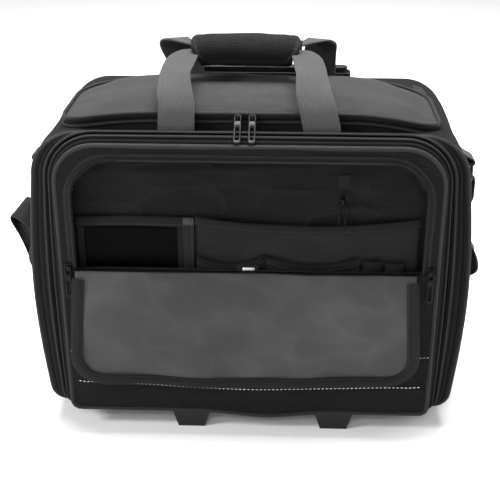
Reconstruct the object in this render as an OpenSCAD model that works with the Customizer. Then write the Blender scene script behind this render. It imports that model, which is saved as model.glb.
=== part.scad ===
// Soft pilot case on wheels: main compartment with a zipped lid, tilting front
// compartment with an organizer pocket, twin carry handles, trolley handle and
// shoulder strap. Millimetres, +Z up, front faces -Y, floor at z = 0.

/* [Case] */
// Half width of the case at its top and bottom edges
side_x = 228; // [226:1:229]
// How far each side swells out at mid height
side_bulge = 9; // [7:1:10]
// Underside of the fabric body
base_z = 25; // [24:0.5:26]
// Top edge of the fabric body
rim_z = 346; // [344:1:348]
// Outer face of the back
back_y = 118; // [117:0.5:119]
// Thickness of a padded wall
wall = 4; // [3:0.5:4.5]

/* [Front compartment] */
// Outer face of the front panel
panel_y = -125; // [-126:0.5:-124]
// Half width of the front panel
panel_x = 201; // [199:1:202]
// Top of the front panel
panel_top = 340; // [338:1:341]
// Height of the fold line of the organizer flap
fold_z = 201; // [196:1:205]
// Half width of the organizer mouth
mouth_x = 185; // [182:1:186]
// Top of the organizer mouth
mouth_top = 325; // [322:1:326]

/* [Lid] */
// Half width of the lid
lid_x = 198; // [194:1:199]
// Crown height of the lid
lid_top = 373; // [370:1:375]

/* [Carry handles] */
// Webbing width
webbing_w = 38; // [34:1:38]
// Middle of each handle leg from the centre line
leg_x = 75; // [74:0.5:75]
// Half length of the padded grip
grip_half = 58; // [54:1:60]
// Radius of the padded grip
grip_r = 17; // [15:1:17]

/* [Trolley] */
// Centre of each tube from the centre line
tube_x = 103.5; // [103.5:0.5:104]
// Outer radius of the fixed tubes
tube_r = 8.5; // [8.3:0.1:8.6]

/* [Wheels] */
// Rolling radius
wheel_r = 30; // [28:0.5:31]
// Wheel width
wheel_w = 22; // [18:1:24]

/* [Hidden] */
$fn = 48;
gap = 0.3;                     // clearance between sliding curved faces
tube_wall = 1;
tube_y = 104;
mid_r = tube_r - tube_wall - gap;
inner_r = mid_r - tube_wall - gap;
zip_y = panel_y + 15;          // plane where the front compartment unzips
piping_y = panel_y + 21;       // front face of the outer piping
body_y = piping_y + 3;         // front edge of the side panels
bulkhead_y = -90;
lining_y = 91;
panel_t = 3;
lid_front_y = -92;
lid_hinge_y = 72;
lid_z = 360;
front_flex = [-107.5, 349.5];  // [y, z] where the front handle bends
rear_flex = [78, 361];         // [y, z] where the rear handle bends
web_t = 2.4;
wheel_x = 172;
wheel_y = 100;
axle_r = 4;
bay_half = 19;                 // wheel bays: half width, front wall and roof
bay_front_y = 62;
bay_top = 72;
mouth_r = 42;
flap_y = panel_y - 5.3;        // hinge line of the organizer flap
ring_y = -21;                  // shoulder strap rings, front to back
ring_z = 292;
ring_x = 239;
foot_x = [-66, 97];

// ---- outlines and small helpers ----

function arc(cx, cz, r, a0, a1, n = 10) =
    [for (i = [0:n]) let (a = a0 + (a1 - a0) * i / n) [cx + r * cos(a), cz + r * sin(a)]];

// Case outline seen from the front: rounded corners, sides swelling by bulge.
function outline(hw, z0, z1, rt, rb, bulge = 0) =
    let (side = [for (i = [1:9]) let (t = i / 10)
            [hw + bulge * sin(180 * t), z0 + rb + (z1 - rt - z0 - rb) * t]],
         right = concat(arc(hw - rb, z0 + rb, rb, -90, 0, 4), side, arc(hw - rt, z1 - rt, rt, 0, 90)),
         n = len(right))
    concat(right, [for (i = [n - 1:-1:0]) [-right[i][0], right[i][1]]]);

module body_outline(inset = 0) {
    polygon(outline(side_x - inset, base_z + inset, rim_z - inset, 48 - inset, 16 - inset, side_bulge));
}

module panel_outline(grow = 0) {
    polygon(outline(panel_x + grow, base_z, panel_top + grow, 42 + grow, 8, 0));
}

module mouth_outline(grow = 0) {
    polygon(outline(mouth_x + grow, fold_z - grow, mouth_top + grow, mouth_r + grow, 3, 0));
}

// Extrudes a front-view outline from y0 to y1.
module slab(y0, y1) {
    translate([0, y1, 0]) rotate([90, 0, 0]) linear_extrude(y1 - y0) children();
}

// Extrudes a side-view outline (y, z) from x0 to x1.
module across(x0, x1) {
    translate([x0, 0, 0]) rotate([90, 0, 90]) linear_extrude(x1 - x0) children();
}

module box(lo, hi) {
    translate(lo) cube(hi - lo);
}

module both_sides() {
    children();
    mirror([1, 0, 0]) children();
}

module rod_x(x0, x1, r) {
    translate([x0, 0, 0]) rotate([0, 90, 0]) cylinder(h = x1 - x0, r = r);
}

// Rectangle with rounded corners, centred.
module round_plate(w, d, r) {
    polygon(concat(arc(w / 2 - r, d / 2 - r, r, 0, 90, 6), arc(r - w / 2, d / 2 - r, r, 90, 180, 6),
        arc(r - w / 2, r - d / 2, r, 180, 270, 6), arc(w / 2 - r, r - d / 2, r, 270, 360, 6)));
}

// Strip of constant thickness along a path of [y, z] points.
function normal(a, b) = let (d = b - a, l = norm(d)) [-d[1] / l, d[0] / l];
function offset_path(p, t) = [for (i = [0:len(p) - 1])
    let (n0 = i > 0 ? normal(p[i - 1], p[i]) : normal(p[0], p[1]),
         n1 = i < len(p) - 1 ? normal(p[i], p[i + 1]) : n0,
         m = (n0 + n1) / norm(n0 + n1),
         k = t / (m * n0))
    p[i] + m * k];
module strip(path, t) {
    back = offset_path(path, t / 2);
    front = offset_path(path, -t / 2);
    polygon(concat(front, [for (i = [len(back) - 1:-1:0]) back[i]]));
}

// ---- fabric body ----

module body_ring(y0, y1) {
    slab(y0, y1) difference() {
        body_outline();
        body_outline(wall);
    }
}

side_split = 196;
module wheel_bays() {
    for (s = [-1, 1])
        box([s * wheel_x - bay_half, bay_front_y, 0], [s * wheel_x + bay_half, back_y + 12, bay_top]);
}

// Half width of the case at height z on its straight sides.
function side_at(z) = side_x + side_bulge * sin(180 * (z - base_z - 16) / (rim_z - 48 - base_z - 16));

module side_panel_left() {
    color("#2b2b2d") intersection() {
        body_ring(body_y, back_y);
        box([-300, -200, 0], [-side_split, 200, 400]);
    }
}
module side_panel_right() {
    color("#2b2b2d") mirror([1, 0, 0]) side_panel_left();
}
module base_panel() {
    color("#2b2b2d") difference() {
        intersection() {
            body_ring(body_y, back_y);
            box([-side_split, -200, 0], [side_split, 200, 100]);
        }
        wheel_bays();
    }
}
module top_gusset() {
    color("#232325") difference() {
        intersection() {
            body_ring(body_y, back_y);
            box([-side_split, -200, 200], [side_split, 200, 400]);
        }
        box([-190, bulkhead_y + wall, 200], [190, lid_hinge_y - wall, 400]);
        bezel_block();
    }
}
// Standing rim under the lid zip, with the sewn ends of the rear handle.
module lid_gusset() {
    color("#1f1f21") {
        difference() {
            translate([0, (lid_front_y + lid_hinge_y) / 2, 320])
                linear_extrude(lid_z - 0.5 - 320) difference() {
                round_plate(2 * lid_x, lid_hinge_y - lid_front_y, 30);
                round_plate(2 * lid_x - 2 * wall, lid_hinge_y - lid_front_y - 2 * wall, 26);
            }
            slab(-200, 200) body_outline();
        }
        both_sides() box([leg_x - webbing_w / 2, rear_flex[0] - web_t / 2, rim_z],
            [leg_x + webbing_w / 2, rear_flex[0] + web_t / 2, rear_flex[1] - 1.5]);
    }
}
module main_front_wall() {
    color("#333336") slab(bulkhead_y, bulkhead_y + wall) body_outline(wall);
}
module trolley_lining() {
    color("#333336") difference() {
        slab(lining_y, lining_y + 3) body_outline(wall);
        wheel_bays();
        bezel_block();
    }
}
module back_panel() {
    color("#2b2b2d") difference() {
        slab(back_y - wall, back_y) body_outline(wall);
        wheel_bays();
        bezel_block();
    }
}
module base_board() {
    color("#3a3a3c") difference() {
        box([-190, bulkhead_y + wall, base_z + wall], [190, lining_y, base_z + wall + 3]);
        wheel_bays();
    }
}
divider_y = 56;
module divider() {
    color("#3a3a3e") intersection() {
        slab(divider_y, divider_y + 5) body_outline(wall);
        box([-300, 0, base_z + wall + 3], [300, 100, 300]);
    }
}
// Fixed half of the front gusset, with the sewn ends of the front handle.
module front_gusset_rear() {
    color("#232325") {
        slab(zip_y, piping_y) difference() {
            panel_outline(3);
            panel_outline(0);
        }
        both_sides() box([leg_x - webbing_w / 2, front_flex[0] - web_t / 2, panel_top + 3],
            [leg_x + webbing_w / 2, front_flex[0] + web_t / 2, front_flex[1] - 2.2]);
    }
}
module outer_piping() {
    color("#1c1c1e") slab(piping_y, body_y) difference() {
        body_outline(-2);
        panel_outline(0);
    }
}
module rear_piping() {
    color("#1c1c1e") difference() {
        slab(back_y, back_y + 3) difference() {
            body_outline(-2);
            body_outline(wall);
        }
        wheel_bays();
    }
}
// ---- feet and wheels ----

module front_feet() {
    color("#161617") for (x = foot_x)
        difference() {
            slab(panel_y + 4, panel_y + 28)
                polygon([[x - 15, 0], [x + 15, 0], [x + 23, base_z], [x - 23, base_z]]);
            box([x - 30, piping_y, base_z - 2], [x + 30, body_y, base_z + 1]);
        }
}
module wheel_housings() {
    color("#161617") both_sides() difference() {
        across(wheel_x - bay_half, wheel_x + bay_half)
            polygon([[bay_front_y, 20], [bay_front_y, bay_top], [back_y + 3, bay_top],
                [back_y + 3, 46], [112, 20]]);
        box([wheel_x - bay_half + 3, bay_front_y + 3, 0], [wheel_x + bay_half - 3, back_y + 12, bay_top - 3]);
        translate([0, wheel_y, wheel_r]) rod_x(120, 220, axle_r);
    }
}
module axles() {
    color("#a8a8aa") both_sides() translate([0, wheel_y, wheel_r])
        rod_x(wheel_x - bay_half, wheel_x + bay_half, axle_r);
}
module housing_screws() {
    color("#9a9a9c") both_sides()
        for (y = [70, 84, 99, 108])
            translate([wheel_x, y, bay_top]) cylinder(h = 2, r = 3.5);
}
module tyre_left() {
    color("#1b1b1b") translate([-wheel_x, wheel_y, wheel_r]) rotate([0, 90, 0]) rotate_extrude()
        polygon([[21, -wheel_w / 2], [wheel_r - 2, -wheel_w / 2], [wheel_r, -wheel_w / 2 + 2],
            [wheel_r, wheel_w / 2 - 2], [wheel_r - 2, wheel_w / 2], [21, wheel_w / 2]]);
}
module tyre_right() {
    mirror([1, 0, 0]) tyre_left();
}
module hub_left() {
    color("#2a2a2a") translate([-wheel_x, wheel_y, wheel_r]) rotate([0, 90, 0]) difference() {
        union() {
            cylinder(h = wheel_w, r = 21, center = true);
            cylinder(h = wheel_w + 6, r = 8, center = true);
        }
        for (s = [-1, 1])
            translate([0, 0, s * (wheel_w / 2 + 1)]) difference() {
                cylinder(h = 8, r = 18, center = true);
                cylinder(h = 10, r = 9, center = true);
            }
        cylinder(h = wheel_w + 10, r = axle_r + 0.06, center = true);
    }
}
module hub_right() {
    mirror([1, 0, 0]) hub_left();
}

// ---- trolley ----

bezel_half = 114;
bezel_z = 338;
bezel_floor = 345;
bezel_top = 361;
module bezel_block() {
    translate([0, tube_y, bezel_z]) linear_extrude(bezel_top - bezel_z)
        round_plate(2 * bezel_half, 24, 9);
}
module tube_pair(x_r, z0, z1, bore) {
    both_sides() translate([tube_x, tube_y, z0]) difference() {
        cylinder(h = z1 - z0, r = x_r);
        if (bore > 0) translate([0, 0, -1]) cylinder(h = z1 - z0 + 2, r = bore);
    }
}
module trolley_bracket() {
    color("#161617") box([-118, 95, base_z + wall], [118, 113, 37]);
}
module trolley_outer_tubes() {
    color("#3c3c3e") tube_pair(tube_r, 37, bezel_z, tube_r - tube_wall);
}
module trolley_bezel() {
    color("#161617") difference() {
        bezel_block();
        translate([0, tube_y, bezel_floor]) linear_extrude(40) round_plate(2 * bezel_half - 4, 17, 6);
        both_sides() translate([tube_x, tube_y, 300]) cylinder(h = 80, r = mid_r + gap);
    }
}
module trolley_mid_tubes() {
    color("#8a8a8c") {
        tube_pair(mid_r, 50, bezel_floor, mid_r - tube_wall);
        both_sides() translate([tube_x, tube_y, bezel_floor]) difference() {
            cylinder(h = 4, r = 8);
            translate([0, 0, -1]) cylinder(h = 6, r = mid_r - tube_wall);
        }
    }
}
grip_z = 350;
grip_top = 367;
module trolley_inner_tubes() {
    color("#9a9a9c") tube_pair(inner_r, 64, grip_z, inner_r - tube_wall);
}
module trolley_grip() {
    color("#161617") difference() {
        translate([0, tube_y, grip_z]) linear_extrude(grip_top - grip_z) round_plate(220, 15, 7);
        box([-13.3, tube_y - 4.3, grip_top - 10], [13.3, tube_y + 4.3, grip_top + 1]);
    }
}
module release_button() {
    color("#48484a") box([-13, tube_y - 4, grip_top - 5], [13, tube_y + 4, grip_top + 1.2]);
}
function coil_ring(a, r, w, h) = let (z = h * a / 1440)
    [for (k = [0:5]) let (b = 60 * k) [(r + w * cos(b)) * cos(a), (r + w * cos(b)) * sin(a), z + w * sin(b)]];
module button_spring() {
    rings = 48;
    points = [for (i = [0:rings]) each coil_ring(i * 1440 / rings, 2.4, 0.3, 3.8)];
    faces = concat([[for (k = [0:5]) k]],
        [for (i = [0:rings - 1], k = [0:5]) [i * 6 + k, (i + 1) * 6 + k, (i + 1) * 6 + (k + 1) % 6,
            i * 6 + (k + 1) % 6]],
        [[for (k = [5:-1:0]) rings * 6 + k]]);
    color("#b5b5b5") translate([0, tube_y, grip_top - 9.4]) polyhedron(points, faces);
}

// ---- lid ----

module lid_plate(inset, z, h, r = 30) {
    translate([0, (lid_front_y + lid_hinge_y - 2) / 2, z]) linear_extrude(h)
        round_plate(2 * (lid_x - inset), lid_hinge_y - 2 - lid_front_y - 2 * inset, r);
}
module lid_dome(d) {
    hull() {
        lid_plate(d, lid_z + 3, 2);
        lid_plate(6 + d, lid_z + 7 - d, 0.5);
        lid_plate(26 + d, lid_top - 3 - d, 0.5, 24);
        lid_plate(56, lid_top - 0.5 - d, 0.5, 16);
    }
}
module lid_shell() {
    color("#2f2f31") difference() {
        lid_dome(0);
        lid_dome(3);
        lid_plate(3, lid_z, 5, 27);
    }
}
module lid_zip() {
    color("#1c1c1e") difference() {
        lid_plate(0, lid_z, 3);
        lid_plate(8, lid_z - 1, 5, 22);
    }
}
// Body of a zip slider, centred on x, between two corners in y and z.
module slider(x, lo, hi) {
    color("#2a2a2c") box([x - 3.5, lo[0], lo[1]], [x + 3.5, hi[0], hi[1]]);
}
// Slotted flat pull hanging from its top end at the origin.
module pull(l) {
    difference() {
        translate([-3.2, -1.1, -l]) cube([6.4, 1.6, l]);
        translate([-1.7, -3, -4.5]) cube([3.4, 6, 3]);
        translate([-1.5, -3, -l + 3]) cube([3, 6, 9]);
    }
}
lid_slider_x = [-12, 3];
lid_pull_pivot = [lid_front_y - 6.2, lid_z + 5];
pull_lean = 52;
module lid_slider_left() {
    slider(lid_slider_x[0], [lid_front_y - 5, lid_z - 0.5], [lid_front_y, lid_z + 4]);
}
module lid_slider_right() {
    slider(lid_slider_x[1], [lid_front_y - 5, lid_z - 0.5], [lid_front_y, lid_z + 4]);
}
module lid_pull(x) {
    color("#6a6a6c") translate([x, lid_pull_pivot[0], lid_pull_pivot[1]])
        rotate([-pull_lean, 0, 0]) pull(34);
}
module lid_pull_left() {
    lid_pull(lid_slider_x[0]);
}
module lid_pull_right() {
    lid_pull(lid_slider_x[1]);
}

// ---- carry handles ----

front_leg = [front_flex, [-97, 372], [-80, 388], [-50, 399], [6, 404]];
rear_leg = [rear_flex, [71, 384], [60, 398], [44, 404]];
module front_handle() {
    color("#3d3d40") both_sides()
        across(leg_x - webbing_w / 2, leg_x + webbing_w / 2) strip(front_leg, web_t);
}
module front_grip() {
    color("#29292b") translate([0, 12, 404]) difference() {
        rod_x(-grip_half - 30, grip_half + 30, grip_r);
        for (s = [-1, 1])
            translate([s * (grip_half + 50), 0, 0]) difference() {
                rod_x(-50, 50, grip_r + 5);
                rod_x(-60, 60, 8);
            }
    }
}
module rear_handle() {
    color("#38383a") both_sides()
        across(leg_x - webbing_w / 2, leg_x + webbing_w / 2) strip(rear_leg, web_t);
}
module rear_grip() {
    color("#29292b") translate([0, 41, 404]) rod_x(-grip_half - 30, grip_half + 30, 6.5);
}
// ---- front panel and organizer ----

module front_panel() {
    color("#29292b") slab(panel_y, panel_y + panel_t) difference() {
        panel_outline(-2);
        mouth_outline();
    }
}
module inner_piping() {
    color("#1c1c1e") slab(panel_y - 1, panel_y + panel_t) difference() {
        panel_outline(2);
        panel_outline(-2);
    }
}
module front_gusset() {
    color("#232325") slab(panel_y + panel_t, zip_y - 0.4) difference() {
        panel_outline(0);
        panel_outline(-3);
    }
}
lining_front = zip_y - 2.4;
module organizer_lining() {
    color("#4a4644") slab(lining_front, zip_y - 0.4) panel_outline(-3);
}
pocket_face = lining_front - 1.8;
// Flat pocket, lower pocket and pen loops on the right, window pocket on the left.
module organizer_pockets() {
    color("#3a3735") {
        box([-58, pocket_face, 150], [190, lining_front, 262]);
        box([-58, pocket_face - 1.4, 120], [118, pocket_face, 219]);
        for (x = [122, 146])
            box([x, pocket_face - 2, 200], [x + 18, pocket_face, 214]);
        box([-184, pocket_face, 120], [-61, lining_front, 258]);
    }
}
module key_tab() {
    color("#2a2a2c") box([93, pocket_face, 292], [103, lining_front, 310]);
}
module pocket_zip() {
    color("#1c1c1e") slab(panel_y - 1.2, panel_y) difference() {
        mouth_outline(9);
        mouth_outline(0);
    }
}
flap_h = 134;
module pocket_flap() {
    color("#57524f") slab(flap_y - 3.7, flap_y - 0.7) mirror([0, 1])
        translate([0, -2 * fold_z]) polygon(outline(mouth_x + 4, fold_z, fold_z + flap_h, 38, 3, 0));
}
hook_z = 292;
hook_x = 98;
module key_hook() {
    color("#77777a") slab(pocket_face - 2.6, pocket_face - 0.6) translate([hook_x, hook_z]) difference() {
        translate([0, -21]) round_plate(10, 42, 4.9);
        translate([0, -26]) round_plate(6, 26, 2.9);
        translate([0, -5.5]) round_plate(6, 4, 1.5);
    }
}

front_slider_x = [-20, 14];
front_pull_z = panel_top + 5.3;
pocket_slider_x = 193.5;
module front_slider_left() {
    slider(front_slider_x[0], [zip_y - 7, panel_top + 0.2], [zip_y - 0.8, panel_top + 4]);
}
module front_slider_right() {
    slider(front_slider_x[1], [zip_y - 7, panel_top + 0.2], [zip_y - 0.8, panel_top + 4]);
}
module pocket_sliders() {
    both_sides() slider(pocket_slider_x, [panel_y - 3.6, fold_z - 1], [panel_y - 1.2, fold_z + 8]);
}
module front_pull_left() {
    color("#6a6a6c") translate([front_slider_x[0], zip_y - 4, front_pull_z])
        rotate([0, 90, 0]) rotate([0, 0, 90]) pull(30);
}
module front_pull_right() {
    color("#6a6a6c") translate([front_slider_x[1], zip_y - 4, front_pull_z])
        rotate([0, -90, 0]) rotate([0, 0, -90]) pull(30);
}
module pocket_pull_left() {
    color("#1f1f21") translate([-pocket_slider_x, panel_y - 4.4, fold_z + 3]) pull(34);
}
module pocket_pull_right() {
    mirror([1, 0, 0]) pocket_pull_left();
}

// ---- side pocket, rings and strap ----

pocket_front_y = 6;
pocket_back_y = 96;
pocket_z = [62, 236];
pocket_outer = [[250, 84], [254, 120], [254.5, 196], [251, pocket_z[1]]];
module bottle_pocket() {
    skin = [for (i = [0:8]) let (z = pocket_z[0] + (pocket_z[1] - pocket_z[0]) * i / 8)
        [side_at(z) + 0.1, z]];
    rim = [for (i = [len(pocket_outer) - 1:-1:0]) pocket_outer[i]];
    color("#262628") {
        slab(pocket_front_y + 3, pocket_back_y - 3) polygon(concat([skin[0]], pocket_outer,
            [for (p = rim) p - [3, 0]], [[side_at(pocket_z[0] + 5) + 0.2, pocket_z[0] + 5]]));
        for (y = [pocket_front_y, pocket_back_y - 3])
            slab(y, y + 3) polygon(concat(skin, rim));
    }
}
// Webbing tabs folded over the top bars of the D rings.
module ring_tabs() {
    color("#3d3d40") both_sides() slab(ring_y - 12, ring_y + 12)
        strip([[side_at(ring_z + 17) + 1.3, ring_z + 17], [side_at(ring_z + 17) + 6, ring_z + 14],
            [ring_mid, ring_z + 6]], 2.2);
}
// D ring hanging under its tab, with the strap's snap hook through it.
ring_mid = ring_x + 4.2;
module strap_hook_right() {
    color("#3a3a3c") translate([ring_mid, ring_y, 0]) {
        translate([-1.5, 0, ring_z - 9]) rotate([90, 0, 90]) linear_extrude(3) difference() {
            round_plate(34, 26, 9);
            round_plate(27, 19, 6);
        }
        translate([0, 2, ring_z - 33]) rotate([90, 0, 0]) linear_extrude(4) difference() {
            round_plate(16, 38, 7.9);
            round_plate(8, 30, 3.9);
        }
        translate([0, 0, ring_z - 61]) cylinder(h = 10, r = 4);
        translate([-1.5, 0, ring_z - 73]) rotate([90, 0, 90]) linear_extrude(3) difference() {
            round_plate(46, 26, 5);
            round_plate(39, 18, 3);
        }
    }
}
module strap_hook_left() {
    mirror([1, 0, 0]) strap_hook_right();
}
// Route of the strap's middle line, left end to right end, and which way its
// width points at each stop.
strap_route = [
    [-246, -21, 202], [-256, -19, 186], [-263, -5, 166], [-264, 24, 146], [-262, 60, 126],
    [-257, 96, 108], [-240, 122, 96], [-200, 128, 88], [-120, 128, 84], [0, 128, 82],
    [120, 128, 84], [200, 128, 88], [240, 122, 96], [258, 100, 108], [262, 66, 126],
    [263, 26, 146], [263, -5, 166], [256, -19, 186], [246, -21, 202]
];
strap_wide = [
    [0, 1, 0], [0, 1, 0], [0, 1, 0.2], [0, 0.9, 0.5], [0, 0.6, 0.8], [0.1, 0.3, 1],
    [0, 0, 1], [0, 0, 1], [0, 0, 1], [0, 0, 1], [0, 0, 1], [0, 0, 1], [0, 0, 1],
    [-0.1, 0.3, 1], [0, 0.6, 0.8], [0, 0.9, 0.5], [0, 1, 0.2], [0, 1, 0], [0, 1, 0]
];
module shoulder_strap() {
    n = len(strap_route);
    w = 34;
    t = 2;
    points = [for (i = [0:n - 1])
        let (a = strap_route[max(i - 1, 0)], b = strap_route[min(i + 1, n - 1)],
             u = strap_wide[i] / norm(strap_wide[i]), d = (b - a) / norm(b - a),
             c = cross(d, u), v = c / norm(c), m = cross(v, d))
        each [for (q = [[-1, -1], [1, -1], [1, 1], [-1, 1]])
            strap_route[i] + m * q[0] * w / 2 + v * q[1] * t / 2]];
    faces = concat([[0, 1, 2, 3]],
        [for (i = [0:n - 2], k = [0:3]) each [
            [i * 4 + k, (i + 1) * 4 + k, (i + 1) * 4 + (k + 1) % 4],
            [i * 4 + k, (i + 1) * 4 + (k + 1) % 4, i * 4 + (k + 1) % 4]]],
        [[n * 4 - 1, n * 4 - 2, n * 4 - 3, n * 4 - 4]]);
    color("#2f2f31") polyhedron(points, faces);
}

side_panel_left();
side_panel_right();
base_panel();
top_gusset();
lid_gusset();
main_front_wall();
trolley_lining();
back_panel();
base_board();
divider();
front_gusset_rear();
outer_piping();
rear_piping();
front_feet();
wheel_housings();
axles();
housing_screws();
tyre_left();
tyre_right();
hub_left();
hub_right();
trolley_bracket();
trolley_outer_tubes();
trolley_bezel();
trolley_mid_tubes();
trolley_inner_tubes();
trolley_grip();
release_button();
button_spring();
lid_shell();
lid_zip();
lid_slider_left();
lid_slider_right();
lid_pull_left();
lid_pull_right();
front_handle();
front_grip();
rear_handle();
rear_grip();
front_panel();
front_gusset();
inner_piping();
organizer_lining();
organizer_pockets();
key_tab();
pocket_zip();
pocket_flap();
key_hook();
front_slider_left();
front_slider_right();
pocket_sliders();
front_pull_left();
front_pull_right();
pocket_pull_left();
pocket_pull_right();
bottle_pocket();
ring_tabs();
strap_hook_left();
strap_hook_right();
shoulder_strap();
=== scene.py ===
"""Looks of a soft rolling pilot case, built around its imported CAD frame. Metres, +Z up, front faces -Y."""
import math

import bpy
from mathutils import Matrix, Vector, noise


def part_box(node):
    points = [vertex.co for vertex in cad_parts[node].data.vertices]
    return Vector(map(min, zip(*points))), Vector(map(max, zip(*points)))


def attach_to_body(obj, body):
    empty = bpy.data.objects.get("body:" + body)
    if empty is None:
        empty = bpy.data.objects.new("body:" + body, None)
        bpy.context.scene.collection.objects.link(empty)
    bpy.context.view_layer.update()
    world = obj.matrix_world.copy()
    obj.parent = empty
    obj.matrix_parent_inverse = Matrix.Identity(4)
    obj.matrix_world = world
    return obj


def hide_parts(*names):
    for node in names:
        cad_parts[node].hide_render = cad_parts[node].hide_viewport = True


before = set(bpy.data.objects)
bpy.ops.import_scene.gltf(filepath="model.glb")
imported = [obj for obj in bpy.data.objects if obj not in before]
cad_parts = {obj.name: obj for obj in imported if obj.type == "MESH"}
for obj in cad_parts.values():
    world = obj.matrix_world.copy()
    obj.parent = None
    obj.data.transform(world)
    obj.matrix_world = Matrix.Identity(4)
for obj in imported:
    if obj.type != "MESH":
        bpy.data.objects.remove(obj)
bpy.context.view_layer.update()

TAU = 2 * math.pi
UP = Vector((0, 0, 1))
FRONT = Vector((0, -1, 0))
BACK = Vector((0, 1, 0))
RIGHT = Vector((1, 0, 0))
LEFT = Vector((-1, 0, 0))
SIDES = ((-1, "left"), (1, "right"))


# ---- camera, light and floor ----

CAMERA_PLACE = (0.0385, -1.086, 0.667)
CAMERA_PITCH = 24.6
CAMERA_AZIMUTH = 2.2
LENS = 72.0


def area_light(name, place, aim, size, watts):
    data = bpy.data.lights.new(name, "AREA")
    data.shape = "RECTANGLE"
    data.size, data.size_y = size
    data.energy = watts
    lamp = bpy.data.objects.new(name, data)
    lamp.location = place
    lamp.rotation_euler = (Vector(aim) - Vector(place)).to_track_quat("-Z", "Y").to_euler()
    bpy.context.collection.objects.link(lamp)


def set_stage():
    camera_data = bpy.data.cameras.new("camera")
    camera_data.lens = LENS
    camera_data.sensor_width = 36
    camera_data.clip_end = 50
    camera = bpy.data.objects.new("camera", camera_data)
    camera.location = CAMERA_PLACE
    camera.rotation_euler = (math.radians(90 - CAMERA_PITCH), 0, math.radians(CAMERA_AZIMUTH))
    bpy.context.collection.objects.link(camera)
    bpy.context.scene.camera = camera

    world = bpy.data.worlds.new("studio")
    world.use_nodes = True
    world.node_tree.nodes["Background"].inputs["Color"].default_value = (1, 1, 1, 1)
    world.node_tree.nodes["Background"].inputs["Strength"].default_value = 0.2
    bpy.context.scene.world = world
    bpy.context.scene.view_settings.view_transform = "Standard"

    area_light("top_box", (0.0, 0.35, 1.8), (0, 0.0, 0.3), (1.4, 1.0), 110)
    area_light("left_box", (-1.8, -0.9, 1.4), (0, 0, 0.2), (0.35, 0.6), 38)
    area_light("right_box", (1.9, 0.1, 1.2), (0, 0, 0.2), (0.5, 0.9), 14)
    area_light("low_box", (-0.9, -1.6, 0.5), (-0.05, -0.1, 0.22), (0.3, 0.3), 3)
    area_light("front_box", (-0.3, -2.4, 2.0), (0, 0, 0.2), (0.9, 0.5), 20)

    bpy.ops.mesh.primitive_plane_add(size=18)
    floor = bpy.context.object
    floor.name = "floor"
    paper = Finish("studio_floor")
    # Painted light: the floor glows, weakly next to the case and more strongly away from it, so it reads white while
    # the real shadow by the case stays dark.
    paper.surface((0.9, 0.9, 0.9), 0.35, specular=0.35, glow=paper.away(0.3, 1.0) * 0.32 + 0.06)
    floor.data.materials.append(paper.material)


# ---- materials ----

class Sig:
    """A shader socket that can be written in arithmetic."""

    def __init__(self, finish, socket):
        self.finish = finish
        self.socket = socket

    def math(self, operation, *others):
        values = {0: self}
        values.update({i + 1: other for i, other in enumerate(others)})
        return self.finish.add("ShaderNodeMath", {"operation": operation}, values)

    def flipped(self, operation, other):
        return self.finish.add("ShaderNodeMath", {"operation": operation}, {0: other, 1: self})

    def __add__(self, other): return self.math("ADD", other)
    def __sub__(self, other): return self.math("SUBTRACT", other)
    def __rsub__(self, other): return self.flipped("SUBTRACT", other)
    def __mul__(self, other): return self.math("MULTIPLY", other)
    def __gt__(self, other): return self.math("GREATER_THAN", other)
    def __abs__(self): return self.math("ABSOLUTE")

    def sin(self): return self.math("SINE")
    def power(self, other): return self.math("POWER", other)


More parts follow.
